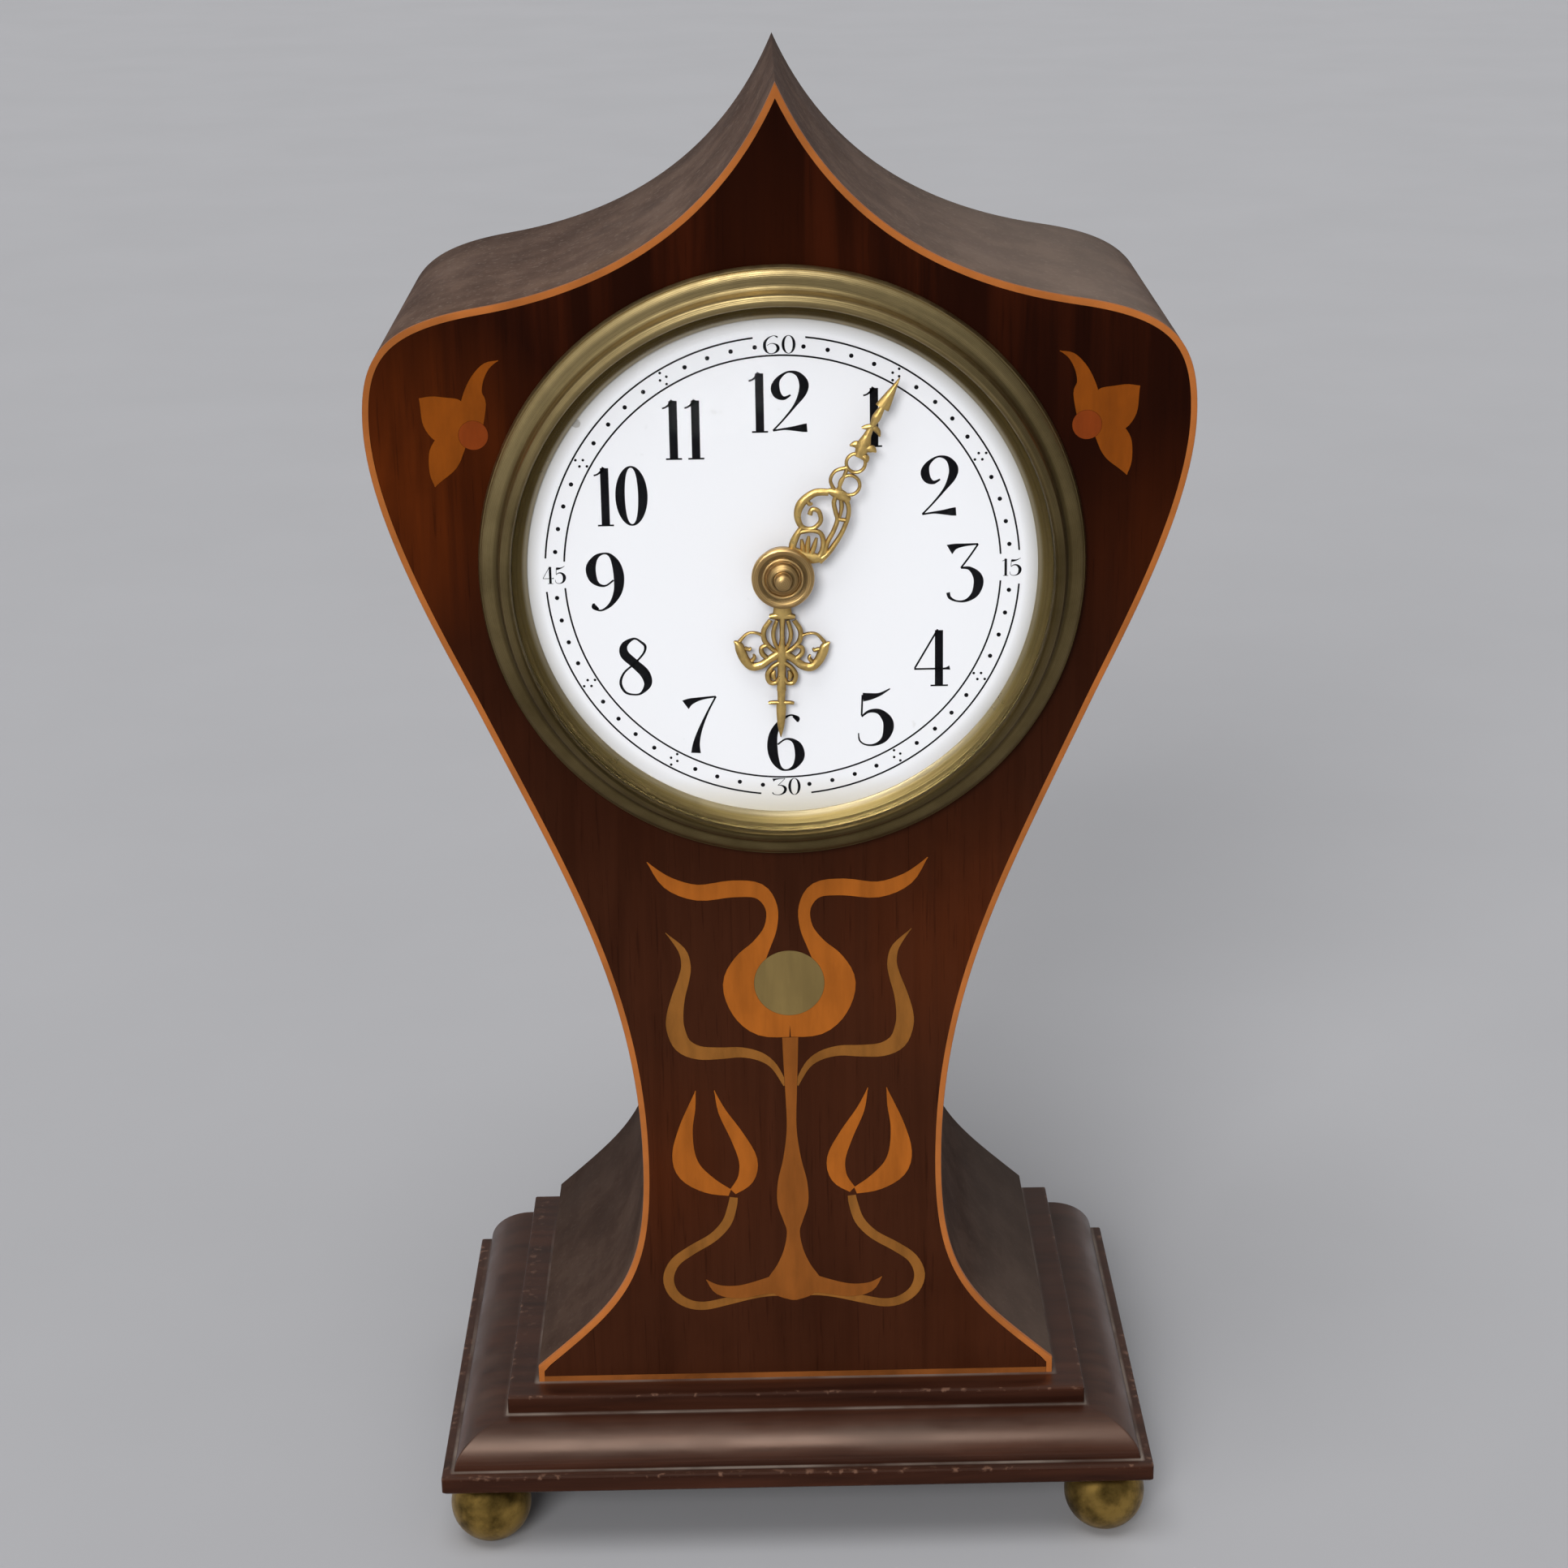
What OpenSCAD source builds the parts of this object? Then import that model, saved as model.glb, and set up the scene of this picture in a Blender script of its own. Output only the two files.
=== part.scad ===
// Balloon clock: inlaid mahogany case on a moulded plinth, round spring movement in a brass drum.
// Millimetres, +Z up, the dial faces -Y, origin on the floor under the middle of the plinth.
// Rest time is five past six.

/* [Case] */
// Height of the case from the plinth to the peak
case_h = 240; // [236:1:248]
// Widest part of the case, at the dial
bulge_w = 140.8; // [138:0.2:146]
// Height of the widest part above the plinth
bulge_h = 184; // [182:0.5:187]
// Narrowest part of the case
waist_w = 54.8; // [52:0.2:58]
// Height of the narrowest part above the plinth
waist_h = 45; // [42:0.5:48]
// Width of the case at the plinth
foot_w = 96.8; // [94:0.2:100]
// Depth of the case from front to back
case_depth = 75.5; // [75.5:0.5:84]
// Thickness of the bent sides
side_t = 5; // [4:0.2:6]
// Thickness of the front board
front_t = 6; // [5:0.5:8]
// Thickness of the back board
back_t = 6; // [5:0.5:8]
// Thickness of the bottom board
bottom_t = 6; // [4:0.5:10]
// Thickness of the front veneer and its inlay
veneer_t = 1; // [0.8:0.1:1.2]
// Width of the boxwood stringing
string_w = 1.1; // [0.9:0.1:2]
// How far the back board lies inside the case
back_recess = 5; // [4.9:0.1:6]

/* [Plinth] */
// Step from the case to the edge of the top slab
top_over = 5.6; // [4:0.1:8]
// Thickness of the top slab
top_slab_t = 3.6; // [3:0.1:5]
// Projection of the ovolo moulding
moulding_out = 9.6; // [7:0.1:12]
// Height of the ovolo moulding
moulding_h = 6.2; // [5:0.1:9]
// Width of the wood behind the ovolo
moulding_back = 8; // [6:0.5:12]
// Ledge of the bottom slab outside the moulding
ledge = 2.2; // [1:0.1:4]
// Thickness of the bottom slab
bottom_slab_t = 3.4; // [3:0.1:6]

/* [Feet] */
// Diameter of a ball foot
foot_d = 15; // [12:0.5:17]
// Height of a ball foot between its flats
foot_h = 13.8; // [11:0.1:14.5]
// Flat under a ball foot
foot_flat_d = 3.4; // [2:0.1:5]
// Distance of a foot's middle from the plinth edges
foot_inset = 8.2; // [8:0.1:14]
// Diameter of a foot's stud
stud_d = 3; // [2:0.1:4]
// Length of a foot's stud
stud_l = 8; // [5:0.5:9]

/* [Dial] */
// Height of the dial's middle above the plinth
dial_height = 158.4; // [157:0.2:160]
// Outside diameter of the bezel
bezel_d = 104; // [102:0.5:106]
// Hole in the boards for the drum
board_hole_d = 99; // [98.6:0.2:100]
// Opening of the sight ring over the dial
sight_d = 86.4; // [85:0.2:88]
// Diameter of the enamel dial
dial_d = 88; // [87.6:0.1:88.4]
// Thickness of the enamel dial
dial_t = 1.4; // [1:0.1:2]
// Distance from the panel's face to the drum's front rim
drum_front = 1.2; // [1:0.1:1.6]
// Height of the sight ring
sight_h = 2; // [1.6:0.1:2.4]
// Thickness of the glass
glass_t = 1.4; // [1:0.1:1.8]
// Rise of the glass dome
glass_rise = 10; // [9.5:0.1:11]
// Length of the minute hand
minute_l = 39.2; // [36:0.2:40]
// Length of the hour hand
hour_l = 29.2; // [28:0.2:32]
// Thickness of a hand
hand_t = 0.6; // [0.4:0.1:0.8]
// Diameter of the hand boss
boss_d = 10.7; // [9:0.1:12]
// Height of the hand boss
boss_h = 3.4; // [2.5:0.1:3.6]

/* [Movement] */
// Outside diameter of the drum
drum_d = 86; // [86:0.1:86.4]
// Wall of the drum
drum_wall = 2; // [1.5:0.1:2.5]
// Thickness of the two plates
plate_t = 2; // [1.6:0.1:2.4]
// Distance between the two plates
plate_gap = 28; // [28:0.2:30]
// Depth of the front plate behind the panel's face
plate_s = 3; // [2.9:0.1:4]
// Diameter of a plate pillar
pillar_d = 4.4; // [3:0.1:5]
// Radius of the pillars' circle
pillar_r = 34; // [33:0.2:35]
// Diameter of the winding and centre arbor bosses
arbor_d = 2.4; // [2:0.1:2.6]
// Diameter of the winding arbor
winding_d = 4; // [3:0.1:4.4]
// Diameter of the balance rim
balance_d = 16; // [15:0.2:16.6]
// Diameter of the setting knob
knob_d = 13; // [10:0.2:15]
// Span of the winding key's wings
key_span = 19; // [15:0.5:21]

/* [Back] */
// Thickness of the rear ring
ring_t = 1.5; // [1.2:0.1:1.8]
// Thickness of the back door
door_t = 1; // [0.8:0.1:1.2]
// Diameter of the back door
door_d = 90; // [88.5:0.5:90.5]
// Diameter of the hinge pin
hinge_pin_d = 1.2; // [1:0.1:1.4]
// Diameter of a hinge knuckle
knuckle_d = 2.6; // [2.4:0.1:2.8]
// Length of the hinge
hinge_l = 18; // [14:0.5:24]
// Diameter of the tie screws
tie_d = 2.4; // [2:0.1:2.6]
// Radius of the tie screws' circle
tie_r = 47.9; // [47.8:0.1:48.1]

/* [Fits] */
// Gap between veneers and their pockets
joint_gap = 0.04; // [0.03:0.01:0.06]
// Gap between glued wooden pieces that slide together
wood_gap = 0.1; // [0.05:0.05:0.2]
// Radial gap of a running shaft
run_gap = 0.05; // [0.04:0.01:0.08]
// Gap between moving faces
face_gap = 0.25; // [0.2:0.05:0.3]

/* [Hidden] */
$fn = 64;

MAHOGANY = "#5b2c1a";
DARK_MAHOGANY = "#43261b";
BOXWOOD = "#b8743a";
AMBER = "#b4682a";
OLIVE = "#7a5a30";
GREY_WOOD = "#7d7350";
BERRY = "#b5482a";
BRASS = "#a58c4c";
GILT = "#cdb069";
STEEL = "#8d9298";
BLUE_STEEL = "#3c4a66";
ENAMEL = "#eef0f2";
GLASS = [0.85, 0.9, 0.95, 0.3];

// Places that follow from the sizes
plinth_over = top_over + moulding_out + ledge;
plinth_w = foot_w + 2 * plinth_over;
plinth_depth = case_depth + plinth_over;
case_front = plinth_over - plinth_depth / 2;
plinth_top_z = foot_h + bottom_slab_t + moulding_h;
case_bottom = plinth_top_z + top_slab_t;
dial_z = case_bottom + dial_height;
board_s = veneer_t + front_t;
back_s = case_depth - back_recess;
ring_border = 7;
tie_angles = [90, 210, 330];
tie_head_d = 4.4;
tie_head_t = 1;
tie_wall = 2.9;
ring_out_d = max(door_d + 2 * ring_border, 2 * tie_r + tie_d + 2 * tie_wall);
flange_r = max(bezel_d / 2, tie_r + tie_d / 2 + tie_wall);

// Layers in front of the panel, as depths behind its face
dial_back_s = -drum_front;
dial_face_s = dial_back_s - dial_t;
glass_s = dial_face_s - sight_h;
hour_lift = 2.2;
hand_step = 1.7;
hour_hand_s = dial_face_s - hour_lift;
minute_hand_s = hour_hand_s - hand_step;
boss_s = minute_hand_s - boss_h;

// Moves a flat drawing of the panel, x across and y up, to a depth behind the panel's face
module layer(s, t) {
    translate([0, case_front + s + t, case_bottom]) rotate([90, 0, 0]) linear_extrude(t) children();
}

// Stands a drawing centred on the dial at a depth behind the panel's face
module dial_place(s) {
    translate([0, case_front + s, dial_z]) rotate([90, 0, 0]) children();
}

module dial_layer(s, t) {
    dial_place(s + t) linear_extrude(t) children();
}

// Stands a turned piece on an arbor: its axis runs back from the panel's face at place p
module on_arbor(p = [0, 0]) {
    translate([p[0], case_front, dial_z + p[1]]) rotate([-90, 0, 0]) children();
}

module disc(s, t, d) {
    translate([0, 0, s]) cylinder(d = d, h = t);
}

module tube(s, t, d_out, d_in) {
    translate([0, 0, s]) difference() {
        cylinder(d = d_out, h = t);
        translate([0, 0, -1]) cylinder(d = d_in, h = t + 2);
    }
}

module both_sides() {
    children();
    mirror([1, 0, 0]) children();
}

// Outline of the case: five tangent curves down the right half, from the peak to the foot

curve_steps = 12;
peak_angle = -66.3;
shoulder = [bulge_w / 2 - 20.2, bulge_h + 19.8];
shoulder_angle = -9;
flank_wood = 1.3;
flank_drop = 25.4;
flank = [max(flange_r, ring_out_d / 2) + flank_wood, dial_height - flank_drop];
flank_angle = -114;
foot_angle = -41.7;
foot_edge = 3;

function heading(a) = [cos(a), sin(a)];
function span(p, pa, pl, q, qa, ql) = [p, p + pl * heading(pa), q - ql * heading(qa), q];

outline_spans = [
    span([0, case_h], peak_angle, 21.7, shoulder, shoulder_angle, 25.4),
    span(shoulder, shoulder_angle, 16.8, [bulge_w / 2, bulge_h], -90, 11.8),
    span([bulge_w / 2, bulge_h], -90, 16.6, flank, flank_angle, 12.2),
    span(flank, flank_angle, 35.8, [waist_w / 2, waist_h], -90, 33.6),
    span([waist_w / 2, waist_h], -90, 24.5, [foot_w / 2, foot_edge], foot_angle, 20.1)
];

function on_span(b, t) = let (u = 1 - t)
    u * u * u * b[0] + 3 * u * u * t * b[1] + 3 * u * t * t * b[2] + t * t * t * b[3];
function along_span(b, t) = let (
        u = 1 - t,
        d = u * u * (b[1] - b[0]) + 2 * u * t * (b[2] - b[1]) + t * t * (b[3] - b[2])
    ) d / norm(d);
function inset_point(b, t, inset) = let (d = along_span(b, t))
    on_span(b, t) + inset * [d[1], -d[0]];

function span_points(i, inset) = [
    for (k = [0:i == 4 ? curve_steps : curve_steps - 1])
        let (p = inset_point(outline_spans[i], k / curve_steps, inset))
            i == 4 ? [min(p[0], foot_w / 2 - inset), p[1]] : p
];
function edge_points(inset) = [for (i = [0:4]) each span_points(i, inset)];
function first_inside(e) = [for (i = [0:len(e) - 1]) if (e[i][0] > 0.01) i][0];
function crossing(a, b) = a[1] - a[0] * (b[1] - a[1]) / (b[0] - a[0]);

// Right half of the outline, moved inwards, from the middle line down to the given height
function half_edge(inset, bottom = 0) = let (e = edge_points(inset), i = max(first_inside(e), 1))
    concat(
        [[0, crossing(e[i - 1], e[i])]],
        [for (k = [i:len(e) - 1]) if (e[k][1] > bottom + 0.01) e[k]],
        [[foot_w / 2 - inset, bottom]]
    );
function reversed(p) = [for (i = [len(p) - 1:-1:0]) p[i]];

module panel(inset, bottom = 0) {
    half = half_edge(inset, bottom);
    polygon(concat(half, reversed([for (p = half) if (p[0] > 0) [-p[0], p[1]]])));
}

module edge_strip(from, to) {
    polygon(concat(half_edge(from), reversed(half_edge(to))));
}

// Case

module board_hole() translate([0, dial_height]) {
    circle(d = board_hole_d);
    for (a = tie_angles) rotate(a) translate([tie_r, 0]) circle(d = tie_d + 2 * wood_gap);
}

module front_board() color(DARK_MAHOGANY) layer(veneer_t, front_t) difference() {
    panel(side_t + wood_gap);
    board_hole();
}

module side_right() color(MAHOGANY) layer(veneer_t, case_depth - veneer_t) edge_strip(0, side_t);

module side_left() mirror([1, 0, 0]) side_right();

module back_board() color(DARK_MAHOGANY) layer(back_s - back_t, back_t) difference() {
    panel(side_t + wood_gap);
    board_hole();
}

module bottom_board() color(DARK_MAHOGANY)
    layer(board_s, back_s - back_t - board_s) intersection() {
        panel(side_t + wood_gap);
        translate([-foot_w / 2, 0]) square([foot_w, bottom_t]);
    }

module front_veneer() color(MAHOGANY) layer(0, veneer_t) difference() {
    panel(string_w + joint_gap, string_w + joint_gap);
    board_hole();
    tulips(joint_gap);
    tulip_eye(joint_gap);
    stem(joint_gap);
    tendrils(joint_gap);
    corner_petals(joint_gap);
    corner_berries(joint_gap);
}

module stringing_right() color(BOXWOOD) layer(0, veneer_t) edge_strip(0, string_w);

module stringing_left() mirror([1, 0, 0]) stringing_right();

module stringing_bottom() color(BOXWOOD) layer(0, veneer_t) {
    half = foot_w / 2 - string_w - joint_gap;
    translate([-half, 0]) square([2 * half, string_w]);
}

// Marquetry: ribbons [x, height, width] on smooth curves through a few points of the right half

ribbon_steps = 4;
tip_w = 0.12;

function smooth(p, i, t) = let (
        a = p[max(i - 1, 0)],
        b = p[i],
        c = p[i + 1],
        d = p[min(i + 2, len(p) - 1)]
    ) 0.5 * (2 * b + (c - a) * t + (2 * a - 5 * b + 4 * c - d) * t * t
        + (3 * b - a - 3 * c + d) * t * t * t);
function smooth_line(p) = concat(
    [for (i = [0:len(p) - 2]) for (k = [0:ribbon_steps - 1]) smooth(p, i, k / ribbon_steps)],
    [p[len(p) - 1]]
);
function across(p, i) = let (
        a = p[max(i - 1, 0)],
        b = p[min(i + 1, len(p) - 1)],
        d = [b[0] - a[0], b[1] - a[1]]
    ) [-d[1], d[0]] / norm(d);
function ribbon_side(p, side, grow) = [
    for (i = [0:len(p) - 1])
        let (n = across(p, i), h = side * (max(p[i][2], tip_w) / 2 + grow))
            [p[i][0] + h * n[0], p[i][1] + h * n[1]]
];

module ribbon(points, grow = 0) {
    line = smooth_line(points);
    polygon(concat(ribbon_side(line, 1, grow), reversed(ribbon_side(line, -1, grow))));
}

eye_at = [0, 80.8];
eye_d = 12.6;
tulip_petal = [
    [24.9, 104.6, 0], [21.3, 100.6, 2.3], [16.1, 98.6, 3], [9.9, 99.2, 3.2], [5.2, 98.7, 2.9],
    [3, 95.6, 2.2], [3.2, 91.6, 2.3], [5, 88, 3.4], [7.2, 84.6, 5.6], [8.3, 80.7, 7.3],
    [7.2, 76.2, 6.8], [4.6, 73.2, 5.6], [0, 72.6, 4.8]
];
side_tulip_outer = [
    [11.6, 39, 1.4], [15.4, 40.6, 3.4], [18.8, 43.4, 4.6], [19.9, 47, 4.2], [19.4, 52, 2.6],
    [18.2, 56.4, 1.4], [17.4, 59.8, 0]
];
side_tulip_inner = [
    [11, 39.2, 1.4], [8.6, 41.8, 3], [8.1, 45.6, 3.4], [10, 50.4, 2.6], [12.6, 55.4, 1.5], [14, 59.8, 0]
];
stem_line = [
    [0, 70.1, 2.9], [0, 65, 2.6], [0, 59, 2.1], [0, 52, 1.8], [0, 46, 3.2], [0, 41, 5.4], [0, 36.6, 5.7],
    [0, 33, 3.6], [0, 30.6, 2.4], [0, 27, 3.6], [0, 23.8, 6.2], [0, 20.4, 10], [0, 17.6, 7], [0, 16.4, 1]
];
root_leaf = [[1, 20.4, 4.6], [5.6, 19.3, 3.2], [10.2, 18.3, 2.7], [14, 18.8, 2], [16.4, 21, 0]];
upper_tendril = [
    [1, 60.6, 0.8], [3, 64.4, 1.2], [5.5, 66.4, 1.7], [8.9, 67.3, 2], [12.8, 67.2, 2.3], [16.7, 67.4, 2.7],
    [19.5, 69, 3.2], [20.7, 72.2, 3.3], [20.7, 75, 3], [20, 78.5, 2.4], [18.9, 82.1, 2], [18.5, 84.7, 1.7],
    [19.2, 87.6, 1.3], [22, 91, 0]
];
lower_tendril = [
    [10.9, 38, 1.5], [11.2, 36.2, 1.7], [12.3, 32.8, 1.8], [14.9, 29.8, 1.8], [19, 27.2, 1.9],
    [22.1, 24.7, 1.9], [23.4, 21.4, 2], [22.5, 18.2, 1.9], [20, 16.1, 1.8], [16.8, 15.5, 1.7],
    [12.5, 16.4, 1.6], [8, 17.5, 1.5], [4.3, 17.9, 1.2], [1.2, 17.4, 0.4]
];
berry_d = 5;
berry_at = [bulge_w / 2 - 18.6, bulge_h - 1.7];

// The three petals at a shoulder, measured from the berry
corner_upper = [
    [-4.8, 12.7, 0], [-2.8, 11.8, 1.2], [-1.3, 9.9, 2], [-0.4, 7.6, 2.9], [-0.3, 5.4, 4.2], [-0.1, 1.4, 3.2]
];
corner_outer = [[8.8, 6.5, 0], [7.4, 5.4, 3.7], [5.6, 3.7, 7.2], [3.7, 2.3, 8], [1, 0.6, 4]];
corner_lower = [[6.9, -8.8, 0], [6.4, -6.9, 2.7], [5.4, -4.6, 5], [4.4, -2.4, 5.4], [2.2, 0.6, 3.6]];
corner_lines = [corner_upper, corner_outer, corner_lower];

module tulips(grow = 0) both_sides() difference() {
    union() {
        ribbon(tulip_petal, grow);
        ribbon(side_tulip_outer, grow);
        ribbon(side_tulip_inner, grow);
    }
    translate(eye_at) circle(d = eye_d + 2 * (joint_gap - grow));
}

module tulip_eye(grow = 0) {
    translate(eye_at) circle(d = eye_d + 2 * grow);
}

module stem(grow = 0) {
    ribbon(stem_line, grow);
    both_sides() ribbon(root_leaf, grow);
}

module tendrils(grow = 0) both_sides() difference() {
    union() {
        ribbon(upper_tendril, grow);
        ribbon(lower_tendril, grow);
    }
    stem(joint_gap - grow);
    ribbon(side_tulip_outer, joint_gap - grow);
    ribbon(side_tulip_inner, joint_gap - grow);
}

module corner_petals(grow = 0) both_sides() translate(berry_at) difference() {
    for (line = corner_lines) ribbon(line, grow);
    circle(d = berry_d + 2 * (joint_gap - grow));
}

module corner_berries(grow = 0) both_sides() translate(berry_at) circle(d = berry_d + 2 * grow);

module inlay_tulips() color(AMBER) layer(0, veneer_t) tulips();
module inlay_tulip_eye() color(GREY_WOOD) layer(0, veneer_t) tulip_eye();
module inlay_stem() color(AMBER) {
    layer(0, veneer_t) ribbon(stem_line);
    both_sides() layer(0, veneer_t) ribbon(root_leaf);
}
module inlay_tendrils() color(OLIVE) layer(0, veneer_t) tendrils();
module inlay_corner_petals() color(AMBER) both_sides() difference() {
    union() {
        for (line = corner_lines) layer(0, veneer_t) translate(berry_at) ribbon(line);
    }
    layer(-1, veneer_t + 2) translate(berry_at) circle(d = berry_d + 2 * joint_gap);
}
module inlay_corner_berries() color(BERRY) layer(0, veneer_t) corner_berries();

// Plinth: the mouldings run round the front and both sides, the back is flush with the case

top_half = foot_w / 2 + top_over;
moulding_half = top_half + moulding_out;
core_half = moulding_half - moulding_out - moulding_back;
plinth_back = plinth_depth / 2;
top_front = case_front - top_over;
moulding_front_y = top_front - moulding_out;
core_front = moulding_front_y + moulding_out + moulding_back;
ovolo_steps = 10;
ovolo_quirk = 0.6;

module plinth_top() color(MAHOGANY) translate([-top_half, top_front, plinth_top_z])
    cube([2 * top_half, plinth_back - top_front, top_slab_t]);

module plinth_core() color(DARK_MAHOGANY) translate([-core_half, core_front, foot_h + bottom_slab_t])
    cube([2 * core_half, plinth_back - core_front, moulding_h]);

// Profile of the moulding: u outwards from the core, v up
function ovolo_profile() = concat(
    [[0, 0]],
    [for (k = [0:ovolo_steps]) let (a = 90 * k / ovolo_steps)
        [moulding_back + ovolo_quirk + (moulding_out - ovolo_quirk) * cos(a), moulding_h * sin(a)]],
    [[0, moulding_h]]
);

module moulding_run(length) {
    rotate([90, 0, 0]) translate([0, 0, -length]) linear_extrude(length) polygon(ovolo_profile());
}

module moulding_front() color(MAHOGANY) intersection() {
    translate([-moulding_half, core_front, foot_h + bottom_slab_t]) rotate([0, 0, -90])
        moulding_run(2 * moulding_half);
    difference() {
        translate([-moulding_half, moulding_front_y, foot_h])
            cube([2 * moulding_half, plinth_depth, case_bottom]);
        both_sides() side_of_mitre();
        foot_places() stud_hole();
    }
}

module side_of_mitre() {
    run = plinth_depth + moulding_out;
    translate([0, 0, foot_h]) linear_extrude(case_bottom) polygon([
        [moulding_half, moulding_front_y], [moulding_half + run, moulding_front_y],
        [moulding_half + run, moulding_front_y + run], [moulding_half - run, moulding_front_y + run]
    ]);
}

module moulding_right() color(MAHOGANY) intersection() {
    translate([core_half, moulding_front_y, foot_h + bottom_slab_t])
        moulding_run(plinth_back - moulding_front_y);
    difference() {
        side_of_mitre();
        foot_places() stud_hole();
    }
}

module moulding_left() mirror([1, 0, 0]) moulding_right();

module plinth_bottom() color(MAHOGANY) difference() {
    translate([-plinth_w / 2, -plinth_depth / 2, foot_h]) cube([plinth_w, plinth_depth, bottom_slab_t]);
    foot_places() stud_hole();
}

// Feet

module stud_hole() {
    translate([0, 0, foot_h - 1]) cylinder(d = stud_d + 2 * joint_gap, h = stud_l + 1 + joint_gap);
}

function foot_at(sx, sy) = [sx * (plinth_w / 2 - foot_inset), sy * (plinth_depth / 2 - foot_inset)];

module foot_places() {
    for (sx = [-1, 1]) for (sy = [-1, 1]) translate(foot_at(sx, sy)) children();
}

module foot() color(BRASS) {
    low = sqrt(foot_d * foot_d - foot_flat_d * foot_flat_d) / 2;
    rotate_extrude() intersection() {
        translate([0, low]) circle(d = foot_d);
        square([foot_d, foot_h]);
    }
    translate([0, 0, foot_h - 0.5]) cylinder(d = stud_d, h = stud_l + 0.5);
}

module foot_front_left() translate(foot_at(-1, -1)) foot();
module foot_front_right() translate(foot_at(1, -1)) foot();
module foot_back_left() translate(foot_at(-1, 1)) foot();
module foot_back_right() translate(foot_at(1, 1)) foot();

// Bezel, glass and dial, turned about the dial's axis: profiles are [radius, depth]

glass_r = dial_d / 2 + 2;
glass_in_r = (glass_r * glass_r + glass_rise * glass_rise) / (2 * glass_rise);
glass_out_r = glass_in_r + glass_t;
glass_centre_s = glass_s - glass_rise + glass_in_r;
lip_over = 0.7;
lip_r = glass_r - lip_over;
lip_s = glass_centre_s - sqrt(glass_out_r * glass_out_r - lip_r * lip_r) - joint_gap;
bore_r = glass_r + joint_gap;
ridge_d = 3.6;
ridge_at = [bore_r + 1.2, lip_s + 0.9];
bead_d = 2.8;
bead_at = [bezel_d / 2 - bead_d / 2 - 0.1, -1.9];
flange_t = 1.4;
tie_grip = 2.4;

module bezel() color(BRASS) on_arbor() difference() {
    rotate_extrude($fn = 128) difference() {
        union() {
            translate([bore_r, -flange_t]) square([flange_r - bore_r, flange_t]);
            translate([bore_r, bead_at[1] - flange_t]) square([bead_at[0] - bore_r, flange_t - bead_at[1]]);
            translate([bore_r, ridge_at[1]])
                square([ridge_at[0] - bore_r + ridge_d / 2 - 0.2, -ridge_at[1]]);
            translate(bead_at) circle(d = bead_d);
            translate(ridge_at) circle(d = ridge_d);
        }
        translate([0, lip_s]) square([bore_r, -lip_s + 1]);
        translate([0, 2 * lip_s]) square([lip_r, -2 * lip_s + 1]);
    }
    tie_places() disc(-tie_grip - joint_gap, tie_grip + 1, tie_d + 2 * joint_gap);
}

module glass() color(GLASS) on_arbor() rotate_extrude($fn = 128) difference() {
    intersection() {
        translate([0, glass_centre_s]) circle(r = glass_out_r);
        translate([0, glass_s - 2 * glass_rise]) square([glass_r, 2 * glass_rise]);
    }
    translate([0, glass_centre_s]) circle(r = glass_in_r);
}

module sight_ring() color(GILT) on_arbor() rotate_extrude($fn = 128) polygon([
    [glass_r - joint_gap, glass_s], [lip_r - 0.2, glass_s],
    [sight_d / 2, dial_face_s - 0.3], [sight_d / 2, dial_face_s],
    [dial_d / 2 + joint_gap, dial_face_s], [dial_d / 2 + joint_gap, dial_back_s],
    [glass_r - joint_gap, dial_back_s]
]);

dial_foot_d = 1.6;
dial_foot_r = 30;
dial_foot_angles = [20, 140, 260];
hour_pipe_d = 5.4;
hour_seat_d = 4.8;
cannon_pipe_d = 3.8;

module dial_feet(d, from, to) {
    for (a = dial_foot_angles) translate([dial_foot_r * cos(a), dial_foot_r * sin(a), from])
        cylinder(d = d, h = to - from);
}

module dial() color(ENAMEL) on_arbor() {
    tube(dial_face_s, dial_t, dial_d, hour_pipe_d + 4 * face_gap);
    dial_feet(dial_foot_d, dial_back_s - 0.1, plate_s + plate_t);
}

// Hands, drawn pointing up and turned to five past six

minute_angle = 30.5;
hour_slack = 1;
hour_angle = 180 + minute_angle / 12 - hour_slack;
hand_eye_d = 9.6;

hour_loop = [[3.2, 11, 0.6], [4.6, 10.5, 0.5], [6, 10.7, 0.5], [7.3, 12.1, 0.7]];
hour_leaf = [
    [8.2, 12, 0.3], [7.4, 12.8, 1.5], [6.9, 14.1, 1.7], [6.2, 15.5, 1.6],
    [5.1, 16.5, 1.5], [3.6, 16.3, 1.4], [2.1, 15.2, 1.3], [0.6, 14.2, 1.4]
];
hour_curl = [[2, 15.4, 0.8], [3.3, 14.3, 0.9], [3.5, 13.2, 0.8], [2.6, 12.7, 0.7]];
hour_shell = [[2, 8.2, 0.8], [3.1, 10, 0.9], [3, 11.8, 0.9], [1.9, 13.2, 0.8], [0.4, 14.2, 0.8]];
hour_shell_rib = [[0.9, 8.2, 0.7], [1.5, 10.4, 0.8], [1.2, 12.3, 0.7], [0.3, 13.8, 0.7]];
hour_drop = [
    [0.4, 15.8, 0.8], [1.7, 16.7, 0.8], [2.4, 18, 0.9], [2, 19.3, 0.9], [1, 19.4, 0.8], [0.4, 18.4, 0.7]
];
hour_cross = [
    [-2.2, 23.1, 0.5], [-1.5, 23, 0.7], [0, 23, 0.7], [1.5, 23, 0.7], [2.2, 23.1, 0.5]
];
hour_collar = [[-2.2, 7.6, 0.8], [-1.2, 7.5, 1.2], [0, 7.5, 1.3], [1.2, 7.5, 1.2], [2.2, 7.6, 0.8]];
hour_neck = [[0, 4, 3.6], [0, 5.8, 3], [0, 7.4, 3.4]];
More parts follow.
